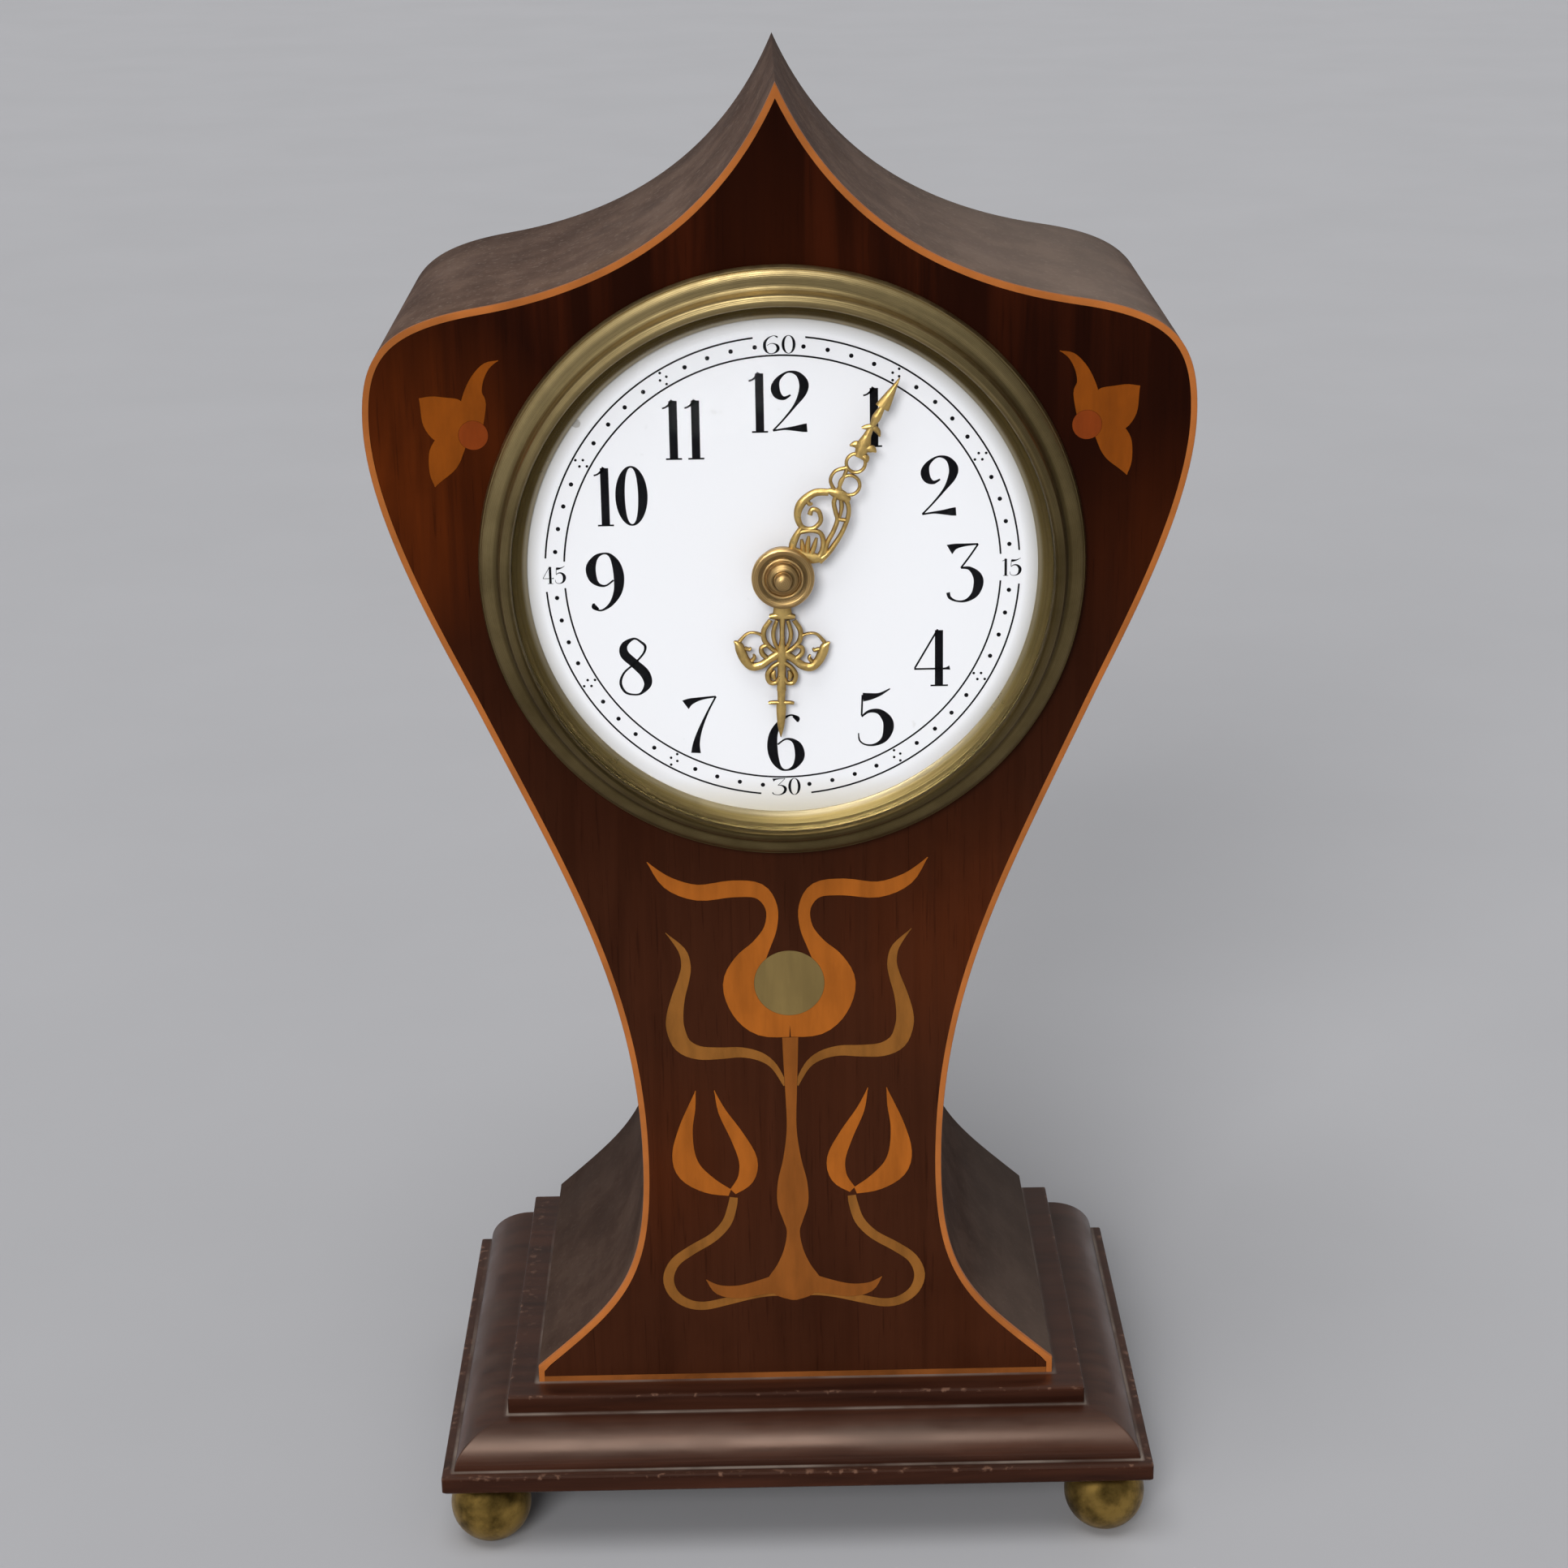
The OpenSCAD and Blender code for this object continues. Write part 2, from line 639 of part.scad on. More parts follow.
hour_rib = [
    [0, 7.2, 1.2], [0, 9.8, 0.9], [0, 12.2, 1], [0, 14.2, 2], [0, 16, 1.5], [0, 19.2, 1.5], [0, 20.8, 1.6]
];
hour_blade = [
    [0, 20.4, 1.5], [0, 22.6, 1.3], [0, 23.8, 1.7], [0, 26.2, 1.4], [0, hour_l - 1.6, 1], [0, hour_l, 0.2]
];
hour_middle = [hour_cross, hour_collar, hour_neck, hour_rib, hour_blade];
hour_half = [hour_loop, hour_leaf, hour_curl, hour_shell, hour_shell_rib, hour_drop];

module hand_ribbons(lines) {
    for (line = lines) linear_extrude(hand_t) ribbon(line);
}

module hand_ring(p, r, w) {
    translate(p) tube(0, hand_t, 2 * r + w, 2 * r - w);
}

module hour_hand() color(GILT) dial_place(hour_hand_s + hand_t) rotate(-hour_angle) difference() {
    union() {
        cylinder(d = hand_eye_d, h = hand_t);
        hand_ribbons(hour_middle);
        both_sides() hand_ribbons(hour_half);
    }
    disc(-1, hand_t + 2, hour_seat_d + 2 * joint_gap);
}

minute_root = [[-1.5, 4.8, 1.2], [0.5, 4.7, 2], [2.5, 5.2, 2], [4.4, 6.1, 1.1]];
minute_scroll = [
    [-0.6, 16.5, 1.2], [-2.6, 15.2, 1.3], [-3.6, 12.6, 1.5], [-3.1, 10.4, 1.2], [-1.5, 9.1, 0.9],
    [0.2, 9.7, 0.8], [0.75, 11.5, 0.8], [-0.35, 12.8, 0.8], [-1.5, 12.6, 0.8], [-1.4, 11.6, 0.9]
];
minute_side_leaf = [[-1.5, 9.1, 0.8], [-1.5, 7, 1.2], [-1.2, 5.4, 1.3], [-0.2, 4.3, 1.2]];
minute_arch = [
    [-1.5, 8, 0.8], [0.1, 9.3, 0.8], [1.7, 9.7, 0.8], [2.9, 8.7, 0.9], [3.6, 7, 1], [3.6, 5.4, 1.2]
];
minute_shell_left = [[1.5, 4.8, 0.8], [0.3, 6.2, 0.9], [-0.5, 7.2, 0.5]];
minute_shell_middle = [[1.8, 5, 0.8], [0.9, 6.9, 0.9], [0.3, 8.3, 0.5]];
minute_shell_right = [[2.3, 5.1, 0.8], [2, 7.1, 0.9], [1.6, 8.7, 0.5]];
minute_stem_outer = [
    [2.3, 17, 0.9], [3.5, 16.1, 0.8], [4.4, 14.4, 0.8], [4.85, 11.7, 0.8], [4.8, 8.9, 0.9],
    [4.5, 6.9, 1], [3.9, 5.4, 1.4]
];
minute_stem_inner = [
    [0.8, 16.8, 0.8], [1.1, 15.4, 0.8], [2.2, 14.1, 0.8], [3.1, 13.1, 0.8], [3.5, 11.1, 0.8],
    [3.6, 8.9, 0.8], [4.2, 6.8, 0.8]
];
minute_link = [[2.9, 13.2, 0.7], [4.6, 13.8, 0.7]];
minute_collar = [[-0.8, 16.7, 0.8], [0.6, 17, 1.7], [1.9, 17.1, 1.8], [3.2, 17, 0.9]];
minute_ring_left = [[0.3, 17.2, 0.7], [-1.3, 18.4, 0.6], [-1.4, 20.2, 0.6], [0, 21.7, 0.7]];
minute_spine = [[0.7, 17.2, 0.7], [0.4, 19.4, 0.6], [0.1, 21.8, 0.7]];
minute_leaf_left = [[0.8, 25.6, 0.9], [-0.6, 25.9, 1.3], [-1.5, 25.2, 0.3]];
minute_leaf_right = [[0.6, 25.8, 0.9], [2, 26.5, 1.3], [2.9, 26.4, 0.3]];
minute_leaf_low = [[0.7, 24.5, 0.8], [1.9, 24.7, 1.2], [2.5, 24.2, 0.3]];
minute_shaft = [
    [0.8, 24.2, 1.6], [0.5, 26.4, 2.3], [0.2, 28.2, 1.3], [0.1, 30, 1], [0, 31.6, 1.5], [0, 33.8, 0.8]
];
minute_cross = [[-1.3, 28.8, 0.3], [-0.6, 29.3, 0.9], [0.3, 29.8, 1], [1.4, 29.6, 0.9], [2.1, 29, 0.3]];
minute_tip = [[0, 33.4, 2.9], [0, 34.2, 2.6], [0, 36, 1.7], [0, 37.6, 0.9], [0, minute_l, 0.2]];
minute_lines = [
    minute_root, minute_scroll, minute_side_leaf, minute_arch, minute_shell_left, minute_shell_middle,
    minute_shell_right, minute_stem_outer, minute_stem_inner, minute_link, minute_collar, minute_ring_left,
    minute_spine, minute_leaf_left, minute_leaf_right, minute_leaf_low, minute_shaft, minute_cross,
    minute_tip
];

module minute_hand() color(GILT) dial_place(minute_hand_s + hand_t) rotate(-minute_angle) difference() {
    union() {
        cylinder(d = hand_eye_d, h = hand_t);
        hand_ribbons(minute_lines);
        hand_ring([1.9, 19.3], 1.7, 0.6);
        hand_ring([0.9, 23.1], 1.6, 0.6);
    }
    disc(-1, hand_t + 2, arbor_d + 2 * joint_gap);
}

module hand_boss() color(BRASS) on_arbor() rotate_extrude() difference() {
    union() {
        translate([0, boss_s + 0.55 * boss_h]) square([boss_d / 2, 0.45 * boss_h]);
        translate([boss_d / 2 - 1, boss_s + 0.55 * boss_h]) circle(r = 0.8);
        translate([0, boss_s + 0.25 * boss_h]) square([boss_d * 0.31, 0.5 * boss_h]);
        translate([0, boss_s]) square([boss_d * 0.2, 0.5 * boss_h]);
    }
    translate([0, boss_s - 1]) square([arbor_d / 2 + joint_gap, boss_h + 2]);
}

// Wheels: straight-sided teeth with room between them, each meshing pair set tooth to gap

tooth_addendum = 0.7;
tooth_dedendum = 1.15;
tip_share = 0.16;
root_share = 0.42;

function wheel_points(teeth, m) = [
    for (i = [0:teeth - 1])
        let (
            pitch = 360 / teeth,
            r_tip = m * (teeth / 2 + tooth_addendum),
            r_root = m * (teeth / 2 - tooth_dedendum)
        ) each [
            r_root * heading(pitch * (i - root_share / 2)), r_tip * heading(pitch * (i - tip_share / 2)),
            r_tip * heading(pitch * (i + tip_share / 2)), r_root * heading(pitch * (i + root_share / 2))
        ]
];

// Direction from arbor a to arbor b as an on_arbor piece sees it
function towards(a, b) = atan2(a[1] - b[1], b[0] - a[0]);

// A toothed disc with a tooth in the given direction
module toothed(teeth, m, s, t, a) {
    translate([0, 0, s]) rotate(a) linear_extrude(t) polygon(wheel_points(teeth, m));
}

// A toothed disc with a gap in the given direction
module gapped(teeth, m, s, t, a) {
    toothed(teeth, m, s, t, a + 180 / teeth);
}

// Room between the arms of a crossed-out wheel
module crossings(s, t, rim_d, hub_d, arms = 5, arm_w = 1.2) {
    translate([0, 0, s - 1]) linear_extrude(t + 2) difference() {
        circle(d = rim_d);
        circle(d = hub_d);
        for (i = [0:arms - 1]) rotate(i * 360 / arms) translate([0, -arm_w / 2]) square([rim_d, arm_w]);
    }
}

barrel_teeth = 60;
barrel_m = 0.55;
inter_leaves = 12;
inter_teeth = 60;
inter_m = 0.5;
centre_leaves = 10;
centre_teeth = 60;
centre_m = 0.35;
third_leaves = 8;
third_teeth = 64;
third_m = 0.3;
fourth_leaves = 8;
fourth_teeth = 60;
fourth_m = 0.3;
escape_leaves = 6;
cannon_leaves = 12;
minute_teeth = 36;
motion_distance = 10;
minute_leaves = 10;
hour_teeth = 40;

wheel_rim = 1.8;
inter_hub_d = 8;
centre_cross_d = 7;
train_hub_d = 5;
pinion_over = 0.8;
barrel_drop = 19;
to_inter = inter_m * (inter_teeth + centre_leaves) / 2;
barrel_to_inter = barrel_m * (barrel_teeth + inter_leaves) / 2;
inter_turn = acos((to_inter * to_inter + barrel_drop * barrel_drop - barrel_to_inter * barrel_to_inter)
    / (2 * to_inter * barrel_drop));
centre_at = [0, 0];
barrel_at = [0, -barrel_drop];
inter_at = to_inter * heading(inter_turn - 90);
third_at = centre_m * (centre_teeth + third_leaves) / 2 * heading(140);
fourth_at = third_at + third_m * (third_teeth + fourth_leaves) / 2 * heading(80);
escape_at = fourth_at + fourth_m * (fourth_teeth + escape_leaves) / 2 * heading(-5);
lever_angle = -10;
pallet_distance = 6.4;
fork_distance = 9;
pallet_at = escape_at + pallet_distance * heading(lever_angle);
balance_at = pallet_at + fork_distance * heading(lever_angle);
minute_wheel_at = motion_distance * heading(225);
cannon_m = 2 * motion_distance / (cannon_leaves + minute_teeth);
hour_m = 2 * motion_distance / (minute_leaves + hour_teeth);

// Depths in the movement
inner_s = plate_s + plate_t;
back_plate_s = inner_s + plate_gap;
rear_s = back_plate_s + plate_t;
barrel_s = inner_s + 2;
barrel_tooth_t = 2.5;
barrel_l = 16;
wheel_t = 0.9;
centre_wheel_s = barrel_s + barrel_l + 1;
inter_wheel_s = centre_wheel_s + 2.2;
third_wheel_depth = 11;
fourth_wheel_depth = 15;
escape_depth = 23.4;
third_wheel_s = inner_s + third_wheel_depth;
fourth_wheel_s = inner_s + fourth_wheel_depth;
escape_wheel_s = inner_s + escape_depth;
pivot_d = 1;
small_arbor_d = 1.3;
key_s = rear_s + 4;

// An arbor between the plates, with a pivot in each of them
module plate_arbor(d = small_arbor_d) {
    disc(inner_s + face_gap, plate_gap - 2 * face_gap, d);
    disc(plate_s + 0.3, plate_gap + 2 * plate_t - 0.6, pivot_d);
}

module pivot_holes(s) {
    for (p = [inter_at, third_at, fourth_at, escape_at, pallet_at, balance_at])
        on_arbor(p) disc(s - 1, plate_t + 2, pivot_d + 2 * run_gap);
    on_arbor(barrel_at) disc(s - 1, plate_t + 2, winding_d + 2 * run_gap);
    on_arbor(centre_at) disc(s - 1, plate_t + 2, arbor_d + 2 * run_gap);
}

drum_in_d = drum_d - 2 * drum_wall;
ledge_d = drum_in_d - 5;
ledge_t = 1.5;
front_plate_d = drum_in_d - 2 * wood_gap;
back_plate_d = ledge_d - 1;
drum_end_s = back_s + ring_t - face_gap;

module drum() color(BRASS) on_arbor() {
    tube(dial_back_s, drum_end_s - dial_back_s, drum_d, drum_in_d);
    tube(dial_back_s, drum_front, 2 * (glass_r - joint_gap), drum_in_d);
    tube(inner_s, ledge_t, drum_in_d + 0.2, ledge_d);
}

pillar_angles = [45, 135, 225, 315];
rivet_d = 2.4;
minute_stud_d = 2;

module pillar_places() {
    for (a = pillar_angles) on_arbor(pillar_r * heading(a)) children();
}

module front_plate() color(BRASS) {
    difference() {
        on_arbor() disc(plate_s, plate_t, front_plate_d);
        pivot_holes(plate_s);
        pillar_places() disc(plate_s - 1, plate_t + 2, rivet_d + 2 * joint_gap);
        on_arbor() dial_feet(dial_foot_d + 2 * joint_gap, plate_s - 1, inner_s + 1);
    }
    on_arbor(minute_wheel_at) disc(dial_back_s + 0.3, plate_s - dial_back_s, minute_stud_d);
}

click_at = barrel_at + [11.2, 1.2];
click_stud_d = 1.8;
index_post_d = 4;
curb_r = 4.9;
curb_d = 0.6;
regulator_angle = 70;
regulator_travel = 25;
curb_slot_w = 1.2;
curb_slot_angle = 2 * regulator_travel + 20;

module back_plate() color(BRASS) {
    difference() {
        on_arbor() disc(back_plate_s, plate_t, back_plate_d);
        pivot_holes(back_plate_s);
        pillar_places() disc(back_plate_s - 1, plate_t + 2, rivet_d + 2 * joint_gap);
        on_arbor(balance_at) rotate(180 - regulator_angle - curb_slot_angle / 2)
            translate([0, 0, back_plate_s - 1]) rotate_extrude(angle = curb_slot_angle)
                translate([curb_r - curb_slot_w / 2, 0]) square([curb_slot_w, plate_t + 2]);
    }
    on_arbor(click_at) disc(rear_s - 0.1, 2.2, click_stud_d);
    difference() {
        on_arbor(balance_at) disc(rear_s - 0.1, 1.4, index_post_d);
        on_arbor(balance_at) disc(rear_s - 1, 2, pivot_d + 2 * run_gap);
    }
}

module pillars() color(BRASS) pillar_places() {
    disc(inner_s, plate_gap, pillar_d);
    disc(plate_s, plate_gap + 2 * plate_t, rivet_d);
}

// Going train

barrel_d = 30.4;
barrel_wall = 1;
barrel_cap_t = 1.2;
spring_hub_d = 6.4;

module barrel() color(BRASS) on_arbor(barrel_at) difference() {
    union() {
        toothed(barrel_teeth, barrel_m, barrel_s, barrel_tooth_t, towards(barrel_at, inter_at));
        disc(barrel_s, barrel_l, barrel_d);
    }
    disc(barrel_s + barrel_tooth_t, barrel_l, barrel_d - 2 * barrel_wall);
    disc(barrel_s - 1, barrel_l, winding_d + 2 * run_gap);
}

module barrel_cap() color(BRASS) on_arbor(barrel_at) tube(
    barrel_s + barrel_l - barrel_cap_t, barrel_cap_t,
    barrel_d - 2 * barrel_wall - 2 * joint_gap, winding_d + 2 * run_gap
);

// A flat spiral band from radius r0 to r1
function spiral_point(r0, r1, turns, k, n) = (r0 + (r1 - r0) * k / n) * heading(360 * turns * k / n);
function spiral_band(r0, r1, turns, w, n) = concat(
    [for (k = [0:n]) spiral_point(r0 - w / 2, r1 - w / 2, turns, k, n)],
    [for (k = [n:-1:0]) spiral_point(r0 + w / 2, r1 + w / 2, turns, k, n)]
);

mainspring_turns = 7;
mainspring_t = 0.5;
mainspring_s = barrel_s + barrel_tooth_t + face_gap;
mainspring_h = barrel_l - barrel_tooth_t - barrel_cap_t - 2 * face_gap;

module mainspring() color(BLUE_STEEL) on_arbor(barrel_at) translate([0, 0, mainspring_s])
    linear_extrude(mainspring_h) polygon(spiral_band(
        spring_hub_d / 2 + mainspring_t / 2 + face_gap,
        barrel_d / 2 - barrel_wall - mainspring_t / 2 - joint_gap,
        mainspring_turns, mainspring_t, 24 * mainspring_turns
    ));

ratchet_s = rear_s + face_gap;
ratchet_t = 1.2;
ratchet_teeth = 24;
ratchet_r = 6.5;
ratchet_depth = 0.9;
square_w = 2.8;
key_pipe_l = 6;
key_pipe_d = 5.4;
square_end_s = key_s + key_pipe_l - 1;

module winding_arbor() color(STEEL) on_arbor(barrel_at) {
    disc(plate_s, ratchet_s + ratchet_t - plate_s, winding_d);
    disc(mainspring_s, mainspring_h, spring_hub_d);
    translate([-square_w / 2, -square_w / 2, ratchet_s])
        cube([square_w, square_w, square_end_s - ratchet_s]);
}

// The steep faces stop the arbor from turning back
module ratchet_wheel() color(STEEL) on_arbor(barrel_at) difference() {
    translate([0, 0, ratchet_s]) linear_extrude(ratchet_t) polygon([
        for (i = [0:ratchet_teeth - 1]) let (pitch = 360 / ratchet_teeth) each [
            ratchet_r * heading(i * pitch), (ratchet_r - ratchet_depth) * heading((i + 0.08) * pitch)
        ]
    ]);
    disc(ratchet_s - 1, ratchet_t + 2, winding_d + 2 * joint_gap);
}

click_nose = barrel_at + (ratchet_r + face_gap) * heading(45);
click_d = 4;
click_arm = [
    [click_at[0], click_at[1], 3.4], [click_at[0] - 1, click_at[1] + 2.6, 2.4],
    [click_nose[0] + 1.5, click_nose[1] + 1.2, 1.6], [click_nose[0] + 0.5, click_nose[1] + 0.3, 0.5]
];
click_tail = [
    [click_at[0], click_at[1], 3.4], [click_at[0] + 2.6, click_at[1] - 0.6, 1.2],
    [click_at[0] + 6, click_at[1] + 1, 0.7], [click_at[0] + 9, click_at[1] + 5, 0.5]
];

module click() color(STEEL) difference() {
    union() {
        on_arbor(click_at) disc(ratchet_s, ratchet_t, click_d);
        dial_layer(ratchet_s, ratchet_t) ribbon(click_arm);
        dial_layer(ratchet_s, ratchet_t) ribbon(click_tail);
    }
    on_arbor(click_at) disc(ratchet_s - 1, ratchet_t + 2, click_stud_d + 2 * run_gap);
}

key_t = 1.6;
key_wing_h = 9;

module key_wings(d) {
    both_sides() translate([(key_span - key_wing_h) / 2, key_wing_h / 2]) circle(d = d);
}

module winding_key() color(STEEL) on_arbor(barrel_at) {
    difference() {
        disc(key_s, key_pipe_l, key_pipe_d);
        translate([-square_w / 2 - joint_gap, -square_w / 2 - joint_gap, key_s - 1])
            cube([square_w + 2 * joint_gap, square_w + 2 * joint_gap, key_pipe_l]);
    }
    rotate([90, 0, 0]) translate([0, key_s + key_pipe_l - 0.5, -key_t / 2]) linear_extrude(key_t)
        difference() {
            union() {
                key_wings(key_wing_h);
                translate([-key_span / 4, 0]) square([key_span / 2, key_wing_h * 0.7]);
            }
            key_wings(key_wing_h / 2);
        }
}

module intermediate_wheel() color(BRASS) on_arbor(inter_at) {
    plate_arbor(arbor_d);
    gapped(inter_leaves, barrel_m, barrel_s - pinion_over, barrel_tooth_t + 2 * pinion_over,
        towards(inter_at, barrel_at));
    difference() {
        toothed(inter_teeth, inter_m, inter_wheel_s, wheel_t, towards(inter_at, centre_at));
        crossings(inter_wheel_s, wheel_t, inter_teeth * inter_m - 2 * wheel_rim, inter_hub_d);
    }
}

centre_hub_d = 3.6;
centre_hub_l = 3;
centre_pinion_l = 3.4;

module centre_wheel() color(BRASS) on_arbor(centre_at) difference() {
    union() {
        difference() {
            toothed(centre_teeth, centre_m, centre_wheel_s, wheel_t, towards(centre_at, third_at));
            crossings(centre_wheel_s, wheel_t, centre_teeth * centre_m - 2 * wheel_rim, centre_cross_d);
        }
        gapped(centre_leaves, inter_m, centre_wheel_s + wheel_t - joint_gap, centre_pinion_l,
            towards(centre_at, inter_at));
        disc(centre_wheel_s - centre_hub_l, centre_hub_l + wheel_t / 2, centre_hub_d);
    }
    disc(inner_s, plate_gap, arbor_d + 2 * run_gap);
}

module third_wheel() color(BRASS) on_arbor(third_at) {
    plate_arbor();
    gapped(third_leaves, centre_m, centre_wheel_s - pinion_over, wheel_t + 2 * pinion_over,
        towards(third_at, centre_at));
    difference() {
        toothed(third_teeth, third_m, third_wheel_s, wheel_t, towards(third_at, fourth_at));
        crossings(third_wheel_s, wheel_t, third_teeth * third_m - 2 * wheel_rim, train_hub_d);
    }
}

module fourth_wheel() color(BRASS) on_arbor(fourth_at) {
    plate_arbor();
    gapped(fourth_leaves, third_m, third_wheel_s - pinion_over, wheel_t + 2 * pinion_over,
        towards(fourth_at, third_at));
    difference() {
        toothed(fourth_teeth, fourth_m, fourth_wheel_s, wheel_t, towards(fourth_at, escape_at));
        crossings(fourth_wheel_s, wheel_t, fourth_teeth * fourth_m - 2 * wheel_rim, train_hub_d);
    }
}

escape_teeth = 15;
escape_r = 5;
escape_root_r = 3.9;
escape_t = 0.6;

module escape_wheel() color(STEEL) on_arbor(escape_at) {
    plate_arbor(1);
    gapped(escape_leaves, fourth_m, fourth_wheel_s - pinion_over, wheel_t + 2 * pinion_over,
        towards(escape_at, fourth_at));
    difference() {
        translate([0, 0, escape_wheel_s]) linear_extrude(escape_t) polygon([
            for (i = [0:escape_teeth - 1]) let (pitch = 360 / escape_teeth) each [
                escape_root_r * heading(i * pitch), escape_r * heading((i + 0.42) * pitch),
                (escape_r - 0.25) * heading((i + 0.56) * pitch), escape_root_r * heading((i + 0.5) * pitch)
            ]
        ]);
        crossings(escape_wheel_s, escape_t, 6, 2.6, 4, 0.7);
    }
}

pallet_clear = 0.6;
pallet_reach = escape_r + pallet_clear;

module pallet_lever() color(STEEL) on_arbor(pallet_at) {
    plate_arbor(1);
    translate([0, 0, escape_wheel_s]) rotate(-lever_angle) linear_extrude(escape_t) {
        pallet = [pallet_reach * cos(32) - pallet_distance, pallet_reach * sin(32)];
        for (side = [-1, 1]) ribbon([
            [pallet[0], side * pallet[1], 0.4], [pallet[0] + 0.7, side * (pallet[1] - 0.3), 0.9],
            [-0.2, side * 1.6, 1], [0, 0, 1.4]
        ]);
        circle(d = 2.2);
        ribbon([[0, 0, 1.4], [3, 0, 0.8], [fork_distance - 3.4, 0, 0.9], [fork_distance - 2.9, 0, 1.6]]);
        for (side = [-1, 1])
            ribbon([[fork_distance - 3, side * 0.6, 0.5], [fork_distance - 2.2, side * 0.7, 0.4]]);
    }
}

balance_s = inner_s + 9;
balance_t = 1.6;
rim_w = 1.1;
hairspring_s = back_plate_s - 2.6;
hairspring_h = 0.6;
hairspring_t = 0.16;
hairspring_turns = 5;
collet_d = 2.4;
hairspring_out_r = 4.1;
hair_stud_d = 1;

module balance() color(GILT) on_arbor(balance_at) {
    plate_arbor(1.4);
    tube(balance_s, balance_t, balance_d, balance_d - 2 * rim_w);
    for (a = [0, 90]) rotate(a) translate([-balance_d / 2 + rim_w / 2, -0.6, balance_s + 0.3])
        cube([balance_d - rim_w, 1.2, 1]);
    disc(escape_wheel_s - 0.1, escape_t + 0.2, 3);
    disc(hairspring_s - 0.2, hairspring_h + 0.4, collet_d);
}

module hairspring() color(BLUE_STEEL) on_arbor(balance_at) {
    n = 24 * hairspring_turns;
    translate([0, 0, hairspring_s]) linear_extrude(hairspring_h) polygon(spiral_band(
        collet_d / 2 + hairspring_t / 2 + face_gap, hairspring_out_r, hairspring_turns, hairspring_t, n
    ));
    translate([hairspring_out_r, 0, 0]) disc(hairspring_s, back_plate_s - hairspring_s, hair_stud_d);
}

regulator_s = rear_s + face_gap;
regulator_t = 0.8;

module regulator() color(STEEL) on_arbor(balance_at) rotate(-regulator_angle) {
    difference() {
        translate([0, 0, regulator_s]) linear_extrude(regulator_t) {
            circle(d = index_post_d + 3);
            ribbon([
                [-curb_r - 0.5, 0, 1], [-3, 0, 1.6], [0, 0, 4], [4, 0, 1.6], [9, 0, 0.8], [12, 0, 0.3]
            ]);
        }
        disc(regulator_s - 1, regulator_t + 2, index_post_d + 2 * run_gap);
    }
    translate([-curb_r, 0, 0]) disc(hairspring_s, regulator_s + regulator_t - hairspring_s, curb_d);
}

// Motion work and setting

cannon_s = dial_back_s + 2.1;
cannon_t = 1.5;
minute_wheel_s = cannon_s + 0.3;
hour_wheel_s = dial_back_s + 0.4;
motion_t = 0.8;
knob_s = rear_s + 6;
knob_l = 7;
knob_flutes = 30;

module centre_arbor() color(STEEL) on_arbor(centre_at) {
    disc(boss_s - 0.5, knob_s + knob_l - boss_s, arbor_d);
    disc(minute_hand_s + hand_t, cannon_s + 0.2 - minute_hand_s - hand_t, cannon_pipe_d);
    toothed(cannon_leaves, cannon_m, cannon_s, cannon_t, towards(centre_at, minute_wheel_at));
}

module minute_wheel() color(BRASS) on_arbor(minute_wheel_at) difference() {
    union() {
        gapped(minute_teeth, cannon_m, minute_wheel_s, motion_t, towards(minute_wheel_at, centre_at));
        toothed(
            minute_leaves, hour_m, hour_wheel_s - 0.1, minute_wheel_s - hour_wheel_s + 0.2,
            towards(minute_wheel_at, centre_at)
        );
    }
    disc(dial_back_s, plate_s - dial_back_s, minute_stud_d + 2 * run_gap);
}

module hour_wheel() color(BRASS) on_arbor(centre_at) difference() {
    union() {
        gapped(hour_teeth, hour_m, hour_wheel_s, motion_t, towards(centre_at, minute_wheel_at));
        disc(hour_hand_s + hand_t, hour_wheel_s + 0.1 - hour_hand_s - hand_t, hour_pipe_d);
        disc(hour_hand_s - 0.2, hand_t + 0.4, hour_seat_d);
    }
    disc(hour_hand_s - 1, hour_wheel_s - hour_hand_s + 3, cannon_pipe_d + 2 * run_gap);
}

module setting_knob() color(BRASS) on_arbor(centre_at) difference() {
    translate([0, 0, knob_s]) linear_extrude(knob_l) polygon([
        for (i = [0:knob_flutes - 1]) let (pitch = 360 / knob_flutes) each [
            knob_d / 2 * heading((i - 0.2) * pitch), knob_d / 2 * heading((i + 0.2) * pitch),
            (knob_d / 2 - 0.4) * heading((i + 0.5) * pitch)
        ]
    ]);
    disc(knob_s - 1, knob_l + 2, arbor_d + 2 * joint_gap);
}

// Back: ring, tie screws and hinged door

ring_s = back_s;
ring_in_d = drum_d + 2 * wood_gap;
door_s = ring_s + ring_t + face_gap;
hinge_x = -(door_d / 2 + knuckle_d / 2 + 2.6);
hinge_s = door_s + knuckle_d / 2;
knuckle_gap = 0.15;
knuckle_l = hinge_l / 3;
tie_head_s = ring_s + ring_t - tie_head_t;

module tie_places() {
    for (a = tie_angles) rotate(-a) translate([tie_r, 0, 0]) children();
}

// Room around the hinge pin, which stands upright beside the door
module on_hinge(from, to) {
    translate([hinge_x, case_front + hinge_s, dial_z + from]) cylinder(d = knuckle_d, h = to - from);
}

module hinge_bore(gap) {
    translate([hinge_x, case_front + hinge_s, dial_z - hinge_l / 2 - 1])
        cylinder(d = hinge_pin_d + 2 * gap, h = hinge_l + 2);
}

